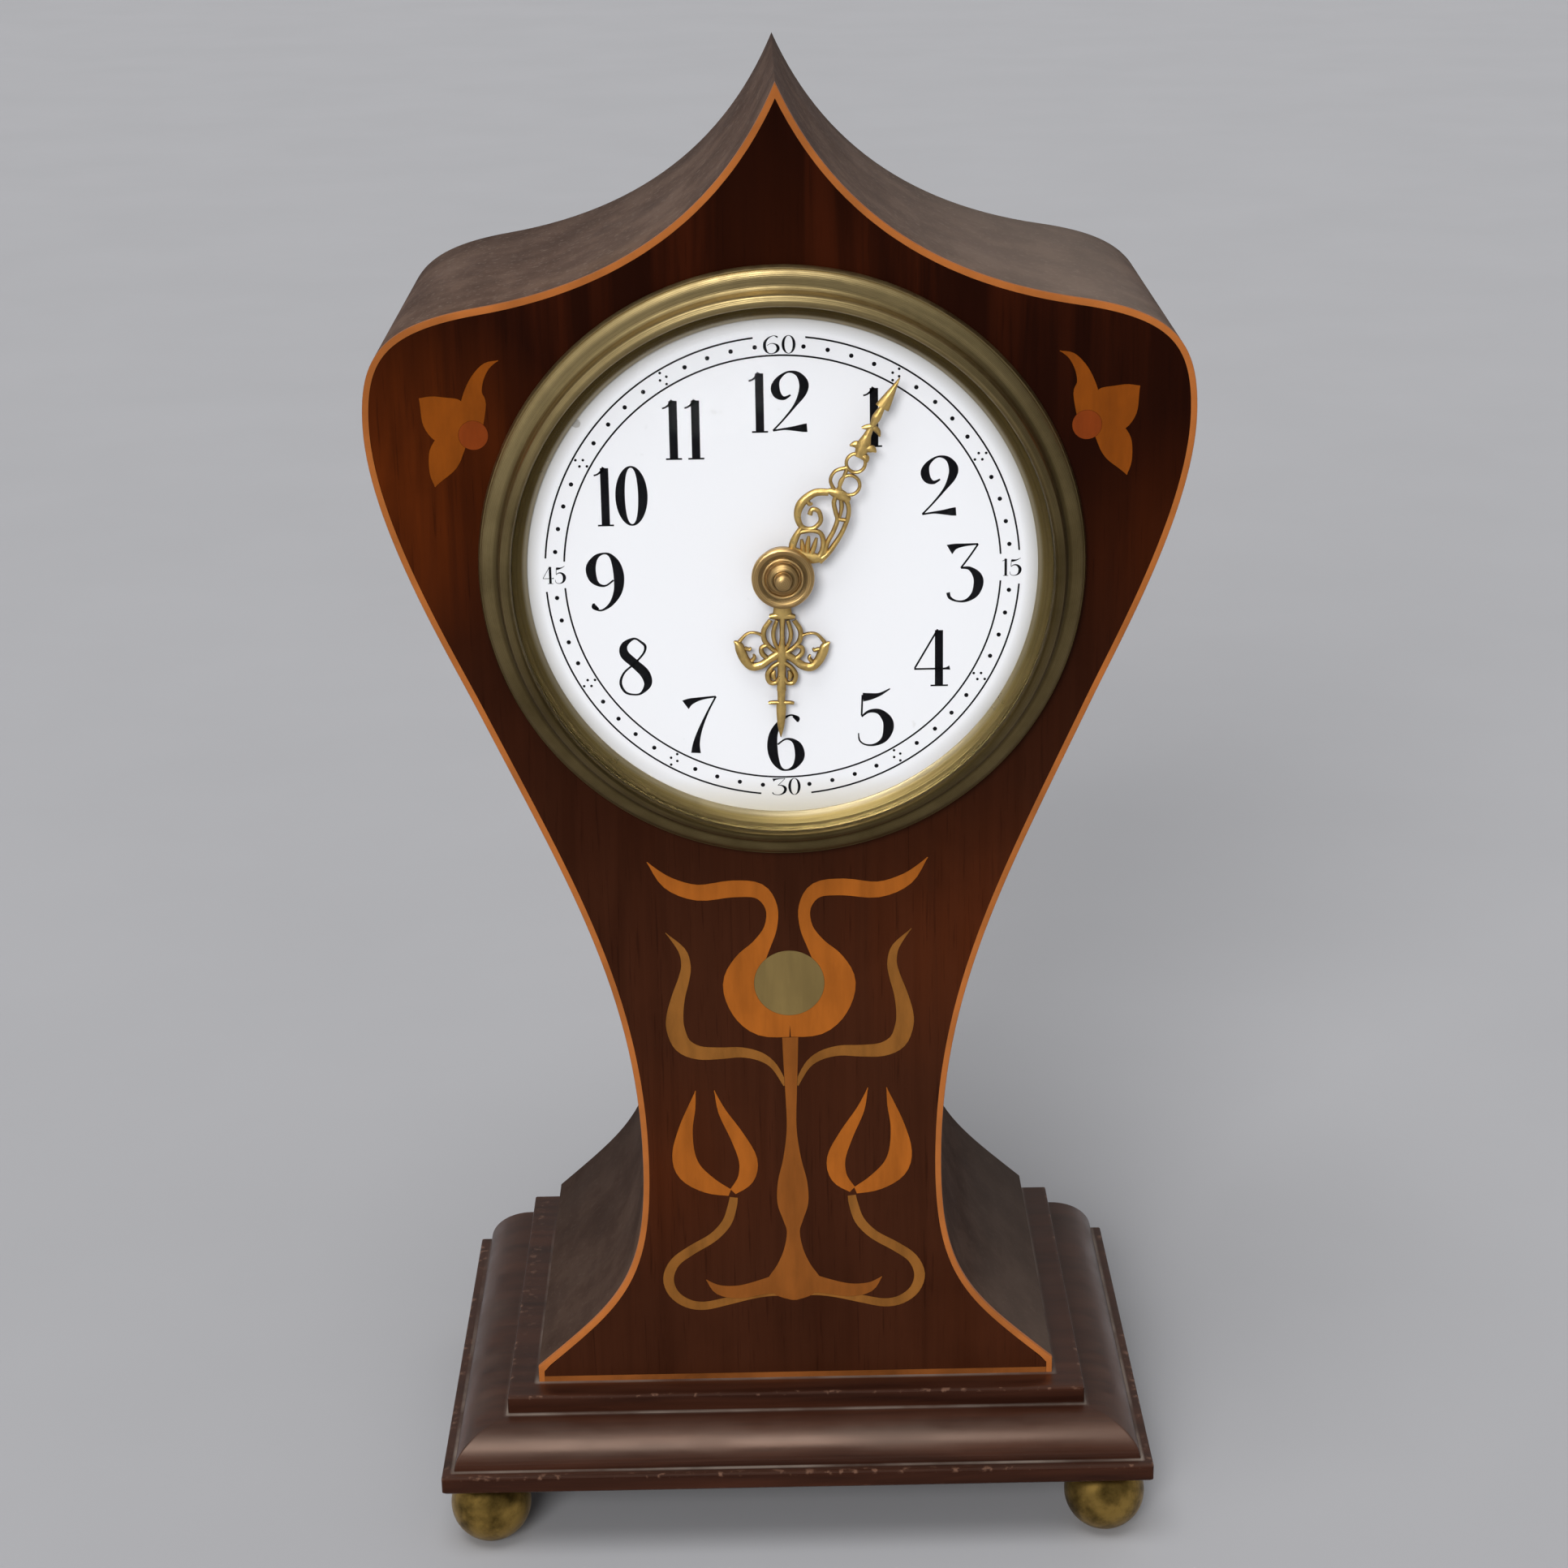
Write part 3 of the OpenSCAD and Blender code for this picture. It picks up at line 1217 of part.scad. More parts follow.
module rear_ring() color(BRASS) difference() {
    union() {
        on_arbor() tube(ring_s, ring_t, ring_out_d, ring_in_d);
        for (side = [-1, 1]) {
            low = side < 0 ? -hinge_l / 2 : knuckle_l / 2 + knuckle_gap;
            high = side < 0 ? -knuckle_l / 2 - knuckle_gap : hinge_l / 2;
            on_hinge(low, high);
            translate([hinge_x - knuckle_d / 2, case_front + ring_s + ring_t - 0.2, dial_z + low])
                cube([knuckle_d, hinge_s - ring_s - ring_t + 0.2, high - low]);
        }
    }
    on_arbor() tie_places() {
        disc(ring_s - 1, ring_t + 2, tie_d + 2 * joint_gap);
        disc(tie_head_s - joint_gap, ring_t, tie_head_d + 2 * joint_gap);
    }
    hinge_bore(joint_gap);
}

module tie_screws() color(STEEL) on_arbor() tie_places() {
    disc(-tie_grip, tie_head_s + tie_grip + tie_head_t, tie_d);
    disc(tie_head_s, tie_head_t, tie_head_d);
}

door_pull_d = 4;
door_pull_h = 2;

module back_door() color(BRASS) difference() {
    union() {
        on_arbor() disc(door_s, door_t, door_d);
        on_hinge(-knuckle_l / 2, knuckle_l / 2);
        translate([hinge_x, case_front + door_s, dial_z - knuckle_l / 2])
            cube([-hinge_x - door_d / 2 + 2, door_t, knuckle_l]);
        on_arbor([door_d / 2 - 6, 0]) disc(door_s + door_t - 0.1, door_pull_h, door_pull_d);
    }
    hinge_bore(run_gap);
}

module hinge_pin() color(STEEL) translate([hinge_x, case_front + hinge_s, dial_z - hinge_l / 2])
    cylinder(d = hinge_pin_d, h = hinge_l);

front_board();
front_veneer();
side_left();
side_right();
back_board();
bottom_board();
stringing_left();
stringing_right();
stringing_bottom();
inlay_tulips();
inlay_tulip_eye();
inlay_stem();
inlay_tendrils();
inlay_corner_petals();
inlay_corner_berries();
plinth_top();
plinth_core();
moulding_front();
moulding_left();
moulding_right();
plinth_bottom();
foot_front_left();
foot_front_right();
foot_back_left();
foot_back_right();
bezel();
glass();
sight_ring();
dial();
hour_hand();
minute_hand();
hand_boss();
drum();
front_plate();
back_plate();
pillars();
barrel();
barrel_cap();
mainspring();
winding_arbor();
ratchet_wheel();
click();
winding_key();
intermediate_wheel();
centre_wheel();
centre_arbor();
third_wheel();
fourth_wheel();
escape_wheel();
pallet_lever();
balance();
hairspring();
regulator();
minute_wheel();
hour_wheel();
setting_knob();
rear_ring();
tie_screws();
back_door();
hinge_pin();
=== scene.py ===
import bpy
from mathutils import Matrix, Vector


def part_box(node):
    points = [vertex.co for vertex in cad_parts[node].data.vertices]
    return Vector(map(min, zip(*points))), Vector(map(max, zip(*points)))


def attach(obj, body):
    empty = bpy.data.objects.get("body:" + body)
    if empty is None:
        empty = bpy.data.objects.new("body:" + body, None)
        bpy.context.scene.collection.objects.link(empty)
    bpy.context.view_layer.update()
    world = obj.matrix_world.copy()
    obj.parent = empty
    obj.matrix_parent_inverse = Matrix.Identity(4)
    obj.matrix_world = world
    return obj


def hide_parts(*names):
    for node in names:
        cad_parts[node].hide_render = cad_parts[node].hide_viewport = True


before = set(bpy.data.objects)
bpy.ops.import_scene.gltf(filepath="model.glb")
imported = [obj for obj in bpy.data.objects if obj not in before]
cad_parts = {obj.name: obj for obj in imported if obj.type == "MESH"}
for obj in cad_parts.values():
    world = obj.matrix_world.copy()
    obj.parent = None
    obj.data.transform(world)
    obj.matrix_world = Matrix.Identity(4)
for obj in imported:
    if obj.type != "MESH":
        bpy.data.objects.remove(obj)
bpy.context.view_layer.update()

import math

import bmesh
import bpy
from bpy.props import FloatProperty, FloatVectorProperty, IntProperty, PointerProperty
from mathutils import Matrix, Vector

bl_info = {
    "name": "Balloon clock",
    "version": (1, 0, 0),
    "blender": (4, 5, 0),
    "location": "View3D > Sidebar > Clock",
    "description": "Dresses an inlaid balloon clock with its woods, metals, dial and hands",
    "category": "Object",
}

MM = 0.001


def measured(node):
    """Lowest and highest corner of a CAD node in millimetres."""
    low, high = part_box(node)
    return low / MM, high / MM


CASE_FRONT = measured("stringing_right")[0].y
CASE_BOTTOM = measured("side_right")[0].z
CASE_DEPTH = measured("side_right")[1].y - CASE_FRONT
DIAL_Z = (measured("bezel")[0].z + measured("bezel")[1].z) / 2
DIAL_FACE_S = measured("dial")[0].y - CASE_FRONT
MINUTE_BACK_S = measured("minute_hand")[1].y - CASE_FRONT
HOUR_BACK_S = measured("hour_hand")[1].y - CASE_FRONT
STRING_W = measured("stringing_bottom")[1].z - measured("stringing_bottom")[0].z

# Sizes in millimetres: R is a radius, T a thickness, W a width, S a depth behind the case's front
VENEER_T = 1.0
SIDE_T = 5.0
FOOT_HALF, FOOT_RISE = 48.4, 10
MINUTE_ANGLE = 30.5
HOUR_ANGLE = 180 + MINUTE_ANGLE / 12 - 1
HAND_EYE_R, HAND_EYE_T = 4.8, 0.6
MINUTE_BORE_R, HOUR_BORE_R = 1.3, 2.5
FOOT_FLAT_R = 1.7
SLAB_CORNER_R, OVOLO_CORNER_R = 0.5, 0.35
BEZEL_R, BEZEL_BORE_R = 52.0, 46.04
SIGHT_R, SIGHT_SEAT_R, SIGHT_BORE_R = 45.96, 44.04, 43.5
SIGHT_LIP, SIGHT_SEAT = 2, 1.4
GLASS_R, GLASS_T = 112.2, 1.4
PAINT_SINK = 0.02
TINY = 0.001

# The floor and the height of its rim, and the distance at which points merge, in metres
FLOOR_R, RIM_H = 7.0, 1.6
MERGE = 1e-7

# Degrees from which an edge is left sharp
EDGE_SHARP, RIDGE_SHARP, HAND_SHARP = 38, 32, 50

RING_SEGMENTS, GLASS_SEGMENTS, BOSS_SEGMENTS = 288, 128, 96
ROUND_SEGMENTS, HAND_RING_SEGMENTS, DOT_SEGMENTS = 48, 32, 14
STROKE_STEPS, TRACK_STEPS, GLASS_STEPS = 8, 40, 24
OVOLO_STEPS, FOOT_STEPS = 14, 22
FLOOR_SEGMENTS, FLOOR_STEPS = 64, 12

# The right half of the case in five tangent curves: start, heading, pull, end, heading, pull
OUTLINE = (
    ((0, 240), -66.3, 21.7, (50.2, 203.8), -9, 25.4),
    ((50.2, 203.8), -9, 16.8, (70.4, 184), -90, 11.8),
    ((70.4, 184), -90, 16.6, (53.3, 133), -114, 12.2),
    ((53.3, 133), -114, 35.8, (27.4, 45), -90, 33.6),
    ((27.4, 45), -90, 24.5, (FOOT_HALF, 3), -41.7, 20.1),
)

# The bezel's ridges from the outside in: centre, radii, first and last angle, steps
BEZEL_RIDGES = (
    ((49.6, -0.9), (2.4, 2.6), 0, 31, 6),
    ((49.6, -0.9), (2.2, 2.4), 34, 37, 2),
    ((49.6, -0.9), (2.4, 2.6), 40, 88, 11),
    ((49.6, -5.3), (1.35, 1.75), 268, 185, 10),
    ((47.35, -5.5), (0.85, 1.4), 8, 80, 8),
    ((46.85, -6.35), (0.8, 1.0), 70, 180, 10),
)

# Tarnish in the bezel's grooves: radius, half width and share
BEZEL_GROOVES = ((51.55, 0.15, 0.25), (48.8, 0.7, 0.7), (47.3, 1.0, 0.3), (46.2, 0.6, 0.8))

# Hand ribbons: across, along and width at a few points
HOUR_SIDES = (
    ((3.2, 11, 0.6), (4.6, 10.5, 0.5), (6, 10.7, 0.5), (7.3, 12.1, 0.7)),
    ((8.2, 12, 0.3), (7.4, 12.8, 1.5), (6.9, 14.1, 1.7), (6.2, 15.5, 1.6), (5.1, 16.5, 1.5),
     (3.6, 16.3, 1.4), (2.1, 15.2, 1.3), (0.6, 14.2, 1.4)),
    ((2, 15.4, 0.8), (3.3, 14.3, 0.9), (3.5, 13.2, 0.8), (2.6, 12.7, 0.7)),
    ((2, 8.2, 0.8), (3.1, 10, 0.9), (3, 11.8, 0.9), (1.9, 13.2, 0.8), (0.4, 14.2, 0.8)),
    ((0.9, 8.2, 0.7), (1.5, 10.4, 0.8), (1.2, 12.3, 0.7), (0.3, 13.8, 0.7)),
    ((0.4, 15.8, 0.8), (1.7, 16.7, 0.8), (2.4, 18, 0.9), (2, 19.3, 0.9), (1, 19.4, 0.8),
     (0.4, 18.4, 0.7)),
    ((1.2, 17.2, 0.5), (1.5, 18, 1), (1.3, 18.8, 0.6)),
    ((6.4, 13.2, 0.6), (5.6, 13.5, 0.7), (5.3, 13.1, 0.3)),
    ((5.2, 15.6, 0.7), (4.7, 14.9, 0.7), (4.9, 14.3, 0.3)),
)
HOUR_MIDDLE = (
    ((-2.2, 23.1, 0.5), (-1.5, 23, 0.7), (0, 23, 0.7), (1.5, 23, 0.7), (2.2, 23.1, 0.5)),
    ((-2.2, 7.6, 0.8), (-1.2, 7.5, 1.2), (0, 7.5, 1.3), (1.2, 7.5, 1.2), (2.2, 7.6, 0.8)),
    ((0, 4, 3.6), (0, 5.8, 3), (0, 7.4, 3.4)),
    ((0, 7.2, 1.2), (0, 9.8, 0.9), (0, 12.2, 1), (0, 14.2, 2), (0, 16, 1.5), (0, 19.2, 1.5),
     (0, 20.8, 1.6)),
    ((0, 20.4, 1.5), (0, 22.6, 1.3), (0, 23.8, 1.7), (0, 26.2, 1.4), (0, 27.6, 1), (0, 29.2, 0.2)),
)
MINUTE_LINES = (
    ((-1.5, 4.8, 1.2), (0.5, 4.7, 2), (2.5, 5.2, 2), (4.4, 6.1, 1.1)),
    ((-0.6, 16.5, 1.2), (-2.6, 15.2, 1.3), (-3.6, 12.6, 1.5), (-3.1, 10.4, 1.2), (-1.5, 9.1, 0.9),
     (0.2, 9.7, 0.8), (0.75, 11.5, 0.8), (-0.35, 12.8, 0.8), (-1.5, 12.6, 0.8), (-1.4, 11.6, 0.9)),
    ((-3.1, 13.6, 0.5), (-2.4, 13.2, 0.8), (-1.9, 13.5, 0.3)),
    ((-1.5, 9.1, 0.8), (-1.5, 7, 1.2), (-1.2, 5.4, 1.3), (-0.2, 4.3, 1.2)),
    ((-1.5, 8, 0.8), (0.1, 9.3, 0.8), (1.7, 9.7, 0.8), (2.9, 8.7, 0.9), (3.6, 7, 1),
     (3.6, 5.4, 1.2)),
    ((1.5, 4.8, 0.8), (0.3, 6.2, 0.9), (-0.5, 7.2, 0.5)),
    ((1.8, 5, 0.8), (0.9, 6.9, 0.9), (0.3, 8.3, 0.5)),
    ((2.3, 5.1, 0.8), (2, 7.1, 0.9), (1.6, 8.7, 0.5)),
    ((2.3, 17, 0.9), (3.5, 16.1, 0.8), (4.4, 14.4, 0.8), (4.85, 11.7, 0.8), (4.8, 8.9, 0.9),
     (4.5, 6.9, 1), (3.9, 5.4, 1.4)),
    ((0.8, 16.8, 0.8), (1.1, 15.4, 0.8), (2.2, 14.1, 0.8), (3.1, 13.1, 0.8), (3.5, 11.1, 0.8),
     (3.6, 8.9, 0.8), (4.2, 6.8, 0.8)),
    ((2.9, 13.2, 0.7), (4.6, 13.8, 0.7)),
    ((1.9, 16.4, 0.7), (2.6, 15.4, 0.8), (3.2, 13.8, 0.5)),
    ((-0.8, 16.7, 0.8), (0.6, 17, 1.7), (1.9, 17.1, 1.8), (3.2, 17, 0.9)),
    ((0.3, 17.2, 0.7), (-1.3, 18.4, 0.6), (-1.4, 20.2, 0.6), (0, 21.7, 0.7)),
    ((0.7, 17.2, 0.7), (0.4, 19.4, 0.6), (0.1, 21.8, 0.7)),
    ((0.8, 25.6, 0.9), (-0.6, 25.9, 1.3), (-1.5, 25.2, 0.3)),
    ((0.6, 25.8, 0.9), (2, 26.5, 1.3), (2.9, 26.4, 0.3)),
    ((0.7, 24.5, 0.8), (1.9, 24.7, 1.2), (2.5, 24.2, 0.3)),
    ((0.8, 24.2, 1.6), (0.5, 26.4, 2.3), (0.2, 28.2, 1.3), (0.1, 30, 1), (0, 31.6, 1.5),
     (0, 33.8, 0.8)),
    ((-1.3, 28.8, 0.3), (-0.6, 29.3, 0.9), (0.3, 29.8, 1), (1.4, 29.6, 0.9), (2.1, 29, 0.3)),
    ((0, 33.4, 2.4), (0, 34.2, 2.2), (0, 36, 1.5), (0, 37.6, 0.8), (0, 39.2, 0.2)),
)
MINUTE_RINGS = ((1.9, 19.3, 1.7, 0.6), (0.9, 23.1, 1.6, 0.6))

# Figures on a square of height one: each stroke runs through points across, up and width
FIGURES = {
    "1": (0.30, (
        ((0.17, 0.02, 0.125), (0.17, 0.97, 0.125)),
        ((0.0, 0.85, 0.028), (0.06, 0.87, 0.028), (0.12, 0.92, 0.04), (0.16, 0.985, 0.05)),
        ((0.04, 0.014, 0.028), (0.30, 0.014, 0.028)),
    )),
    "2": (0.58, (
        ((0.31, 0.61, 0.028), (0.2, 0.56, 0.06), (0.1, 0.62, 0.12), (0.065, 0.74, 0.13),
         (0.12, 0.88, 0.07), (0.27, 0.985, 0.03), (0.43, 0.95, 0.075), (0.525, 0.8, 0.14),
         (0.5, 0.64, 0.12), (0.38, 0.44, 0.05), (0.2, 0.22, 0.03), (0.02, 0.03, 0.03)),
        ((0.02, 0.03, 0.03), (0.2, 0.055, 0.035), (0.36, 0.06, 0.075), (0.5, 0.065, 0.12),
         (0.57, 0.07, 0.13)),
    )),
    "3": (0.58, (
        ((0.05, 0.9, 0.17), (0.15, 0.95, 0.09), (0.32, 0.975, 0.045), (0.52, 0.985, 0.03)),
        ((0.52, 0.985, 0.03), (0.39, 0.79, 0.03), (0.24, 0.585, 0.03)),
        ((0.24, 0.585, 0.03), (0.38, 0.575, 0.06), (0.5, 0.46, 0.13), (0.53, 0.32, 0.15),
         (0.47, 0.14, 0.11), (0.33, 0.03, 0.05), (0.18, 0.02, 0.03), (0.06, 0.08, 0.05),
         (0.03, 0.17, 0.06)),
    )),
    "4": (0.62, (
        ((0.43, 0.02, 0.125), (0.43, 0.97, 0.125)),
        ((0.41, 0.985, 0.03), (0.03, 0.32, 0.03)),
        ((0.02, 0.305, 0.03), (0.36, 0.305, 0.03), (0.53, 0.305, 0.035), (0.61, 0.32, 0.075)),
        ((0.29, 0.014, 0.028), (0.58, 0.014, 0.028)),
    )),
    "5": (0.56, (
        ((0.1, 0.86, 0.14), (0.22, 0.87, 0.11), (0.38, 0.905, 0.055), (0.55, 1.0, 0.02)),
        ((0.09, 0.9, 0.03), (0.075, 0.54, 0.03)),
        ((0.075, 0.52, 0.03), (0.2, 0.61, 0.05), (0.37, 0.6, 0.09), (0.5, 0.46, 0.15),
         (0.52, 0.3, 0.16), (0.45, 0.12, 0.1), (0.3, 0.025, 0.045), (0.14, 0.025, 0.028),
         (0.04, 0.1, 0.028), (0.02, 0.23, 0.02)),
    )),
    "6": (0.58, (
        ((0.49, 0.95, 0.04), (0.37, 0.98, 0.03), (0.21, 0.87, 0.07), (0.095, 0.66, 0.13),
         (0.07, 0.42, 0.16), (0.11, 0.2, 0.13), (0.2, 0.05, 0.06), (0.31, 0.015, 0.03),
         (0.44, 0.08, 0.08), (0.525, 0.25, 0.15), (0.5, 0.43, 0.13), (0.41, 0.54, 0.06),
         (0.29, 0.56, 0.03), (0.16, 0.47, 0.03)),
        ((0.42, 0.96, 0.03), (0.49, 0.92, 0.085), (0.5, 0.86, 0.03)),
    )),
    "7": (0.56, (
        ((0.03, 0.85, 0.17), (0.12, 0.905, 0.11), (0.3, 0.955, 0.05), (0.54, 0.985, 0.03)),
        ((0.54, 0.985, 0.03), (0.4, 0.72, 0.035), (0.27, 0.42, 0.065), (0.2, 0.18, 0.105),
         (0.185, 0.0, 0.15)),
    )),
    "8": (0.56, (
        ((0.42, 0.92, 0.04), (0.3, 0.985, 0.035), (0.14, 0.88, 0.10), (0.135, 0.72, 0.14),
         (0.3, 0.55, 0.14), (0.46, 0.38, 0.15), (0.505, 0.2, 0.12), (0.4, 0.045, 0.045),
         (0.28, 0.015, 0.03), (0.13, 0.06, 0.04), (0.055, 0.22, 0.045), (0.12, 0.4, 0.035),
         (0.3, 0.56, 0.03), (0.45, 0.73, 0.035), (0.48, 0.85, 0.045), (0.42, 0.92, 0.04)),
    )),
    "0": (0.48, ()),
}
ZERO_MIDDLE, ZERO_RADII = (0.24, 0.5), (0.185, 0.485)
ZERO_THIN, ZERO_SWELL = 0.028, 0.115
HAIRLINE_W, BOLD_SPAN, BOLD_GAIN = 0.04, 0.08, 0.08
FIGURE_GAP = 0.06
# Hour figures: text and place
HOUR_PLACES = (
    ("12", -0.3, 29.3), ("1", 15.5, 26.5), ("2", 26.6, 14.4), ("3", 30.9, -0.9),
    ("4", 25.4, -15.9), ("5", 15.4, -26.6), ("6", 0.0, -30.9), ("7", -14.6, -27.3),
    ("8", -25.9, -16.6), ("9", -30.2, -1.4), ("10", -27.2, 13.6), ("11", -16.3, 24.9),
)
# Minute figures: text, place and how far they are drawn out sideways
MINUTE_PLACES = (("60", 0, 39, 1.6), ("15", 39, 0, 1.1), ("30", 0, -39, 1.45), ("45", -39, 0, 1.0))
# Degrees left free at each minute figure, on the outer and on the inner circle
OUTER_GAPS = (6.2, 4.2, 6.2, 4.2)
INNER_GAPS = (0, 3.6, 0, 3.6)
# Dots of a minute, and of each fifth one: outwards, aside and scale
SINGLE_DOT = ((0, 0, 1.0),)
FOUR_DOTS = ((1.1, 0, 0.62), (-1.1, 0, 0.62), (0, 0.62, 0.62), (0, -0.62, 0.62))

# Pale spots of the front, partly bleached veneer and partly painted reflection: across, height,
# radius and share
FRONT_GLOWS = (
    (-66, 203, 32, 1.05), (34, 116, 30, 0.45), (70, 188, 24, 0.3), (-70, 180, 22, 0.35),
    (-26, 70, 26, 0.3), (40, 40, 26, 0.15), (0, 238, 22, 0.1),
)

# Inlaid woods: finish, setting, share of its dark grain, stretch of the grain and node
INLAYS = (
    ("amber_inlay", "amber", 0.72, (240, 240, 40), "inlay_tulips"),
    ("honey_inlay", "honey", 0.72, (240, 240, 40), "inlay_stem"),
    ("petal_inlay", "petal", 0.72, (240, 240, 60), "inlay_corner_petals"),
    ("olive_inlay", "olive", 0.66, (240, 240, 60), "inlay_tendrils"),
    ("grey_inlay", "eye", 0.8, (300, 300, 40), "inlay_tulip_eye"),
    ("red_inlay", "berry", 0.75, (240, 240, 60), "inlay_corner_berries"),
)


def srgb(red, green, blue):
    """Linear colour of a screen colour written from 0 to 255."""
    def channel(v):
        v /= 255
        return v / 12.92 if v <= 0.04045 else ((v + 0.055) / 1.055) ** 2.4
    return channel(red), channel(green), channel(blue)


# Shades that settings leave alone
FLAME = srgb(72, 28, 10)
RUBBED, STAIN, BLEACHED = srgb(122, 90, 64), srgb(64, 48, 41), srgb(122, 100, 86)
PAINTED_FLARE_SHADE, PAINTED_BACK_SHADE = srgb(52, 37, 31), srgb(48, 36, 31)
HAZE, SPECK = srgb(100, 86, 78), srgb(138, 122, 110)
WORN_EDGE = srgb(142, 106, 86)
BOARD_DARK, BOARD_LIGHT, BOARD_RING = srgb(62, 36, 24), srgb(112, 72, 48), srgb(70, 42, 28)
PAINTED_BEZEL_SHADOW, PAINTED_FOOT_SHADE = srgb(150, 147, 138), srgb(212, 204, 182)
ENAMEL_SPECK, ENAMEL_CHIP = srgb(190, 188, 180), srgb(130, 126, 116)
PAINT_PALE = srgb(34, 34, 38)
FOOT_DARK, SIGHT_PALE = srgb(62, 48, 22), srgb(214, 204, 178)
MOVEMENT_DARK, STEEL_DARK, BLUED_DARK = srgb(120, 92, 44), srgb(96, 96, 100), srgb(24, 28, 48)
FLOOR_SHADE = srgb(150, 150, 152)


def colour(name, description, *screen):
    return FloatVectorProperty(name=name, description=description, default=srgb(*screen),
                               subtype="COLOR", size=3, min=0, max=1)


def length(name, description, millimetres):
    return FloatProperty(name=name, description=description, default=millimetres * MM,
                         min=0, unit="LENGTH", precision=5)


def amount(name, description, default):
    return FloatProperty(name=name, description=description, default=default, min=0)


def angular(name, description, default):
    return FloatProperty(name=name, description=description, default=default, subtype="ANGLE")


class CaseSettings(bpy.types.PropertyGroup):
    """Woods of the case and the plinth."""
    front_upper: colour("Front, upper", "Dark red veneer round the dial", 34, 11, 4)
    front_lower: colour("Front, lower", "Browner veneer below the dial", 63, 32, 18)
    # Partly bleached veneer and partly painted reflection
    front_bleach_and_reflection: colour("Front, glow", "Veneer where light has bleached it", 108, 46, 11)
    side_dark: colour("Sides, dark", "Dark streaks of the bent sides", 86, 66, 56)
    side_light: colour("Sides, light", "Light streaks of the bent sides", 108, 87, 75)
    plinth_dark: colour("Plinth, dark", "Dark streaks of the plinth", 34, 15, 9)
    plinth_light: colour("Plinth, light", "Light streaks of the plinth", 65, 35, 23)
    stringing: colour("Stringing", "Boxwood lines round the front", 174, 102, 48)
    amber: colour("Amber inlay", "Tulips", 166, 92, 28)
    honey: colour("Honey inlay", "Stem and root", 138, 79, 29)
    petal: colour("Petal inlay", "Petals at the shoulders", 132, 66, 9)
    olive: colour("Olive inlay", "Tendrils", 138, 88, 36)
    eye: colour("Tulip eye", "Round eye of the main tulip", 125, 105, 63)
    berry: colour("Berry", "Round berries at the shoulders", 129, 56, 15)
    # Also the colour of the painted sheen on the ovolo and on the sides' upward faces
    dust: colour("Dust", "Dust in the inner corners", 138, 126, 116)
    outline_steps: IntProperty(name="Outline steps", default=28, min=8, max=64,
                               description="Steps on each curve of the outline")
    edge_round: length("Edge round", "Rounding of the wooden edges", 0.35)


class DialSettings(bpy.types.PropertyGroup):
    """Dial painting and the relief of the hands."""
    enamel: colour("Enamel", "White of the dial", 246, 247, 250)
    paint: colour("Paint", "Black of the figures", 8, 8, 11)
    figure_height: length("Figure height", "Height of an hour figure", 10.4)
    minute_height: length("Minute figure height", "Height of a minute figure", 3.1)
    track_outer: length("Outer track", "Radius of the outer track circle", 40.4)
    track_inner: length("Inner track", "Radius of the inner track circle", 37.2)
    track_line: length("Track line", "Width of a track circle", 0.3)
    dot_radius: length("Dot circle", "Radius of the circle of minute dots", 38.8)
    dot_size: length("Dot", "Diameter of a minute dot", 0.75)
    paint_height: length("Paint height", "Height of the paint on the enamel", 0.04)
    hand_relief: length("Hand relief", "Height of the hands' rounded ribs", 0.75)


class MetalSettings(bpy.types.PropertyGroup):
    """Brass, gilt and steel."""
    bezel: colour("Bezel", "Aged brass of the bezel", 192, 170, 120)
    # Tarnish, and the painted shade of the bezel and the sight ring
    bezel_tarnish_and_shade: colour("Bezel, dark", "Tarnish in the bezel's grooves", 74, 60, 32)
    sight: colour("Sight ring", "Duller gilt round the dial", 140, 122, 76)
    gilt: colour("Gilt", "Hands", 226, 192, 118)
    # Patina, and painted shade low on the hands' ribs
    gilt_patina_and_shade: colour("Gilt, dark", "Brown in the hands' recesses", 112, 78, 32)
    boss: colour("Boss", "Bronzed brass of the hand boss", 188, 156, 104)
    boss_dark: colour("Boss, dark", "Patina of the hand boss", 90, 70, 40)
    foot: colour("Feet", "Tarnished brass of the feet", 170, 138, 72)
    movement: colour("Movement brass", "Drum, plates, wheels and door", 196, 164, 92)
    steel: colour("Steel", "Arbors and screws", 170, 172, 176)
    blued: colour("Blued steel", "Springs", 44, 58, 96)


class StageSettings(bpy.types.PropertyGroup):
    """Floor, light and camera."""
    floor: colour("Floor", "Plain pale floor", 180, 180, 183)
    key: amount("Key light", "Strength of the light from the left and the front", 1.96)
    softness: angular("Softness", "Width of the key light", math.radians(26))
    ceiling: amount("Ceiling light", "Strength of the light from above", 1.18)
    fill: amount("Fill light", "Strength of the light from the right", 0.15)
    back: amount("Back light", "Strength of the light from behind", 0.6)
    window: amount("Window", "Strength of the highlight from the left", 0.42)
    horizon: amount("Horizon", "Strength of the room round the clock", 0.08)
    zenith: amount("Zenith", "What the room gains towards its ceiling", 0.26)
    eye: FloatVectorProperty(name="Camera place", description="Place of the camera",
                             default=(-0.00306, -0.5381, 0.32833), subtype="TRANSLATION", size=3)
    pitch: angular("Camera pitch", "How far the camera looks down", 0.3442)
    yaw: angular("Camera yaw", "How far the camera looks aside", -0.0053)
    roll: angular("Camera roll", "Tilt of the camera", -0.0165)
    lens: FloatProperty(name="Lens", description="Focal length on a 36 mm sensor", default=70.67,
                        unit="CAMERA")


# Shapes, in millimetres: panel places are across, up from the plinth and back from the front


def on_panel(x, height, depth):
    return x, CASE_FRONT + depth, CASE_BOTTOM + height


def on_dial(x, up, depth):
    return x, CASE_FRONT + depth, DIAL_Z + up


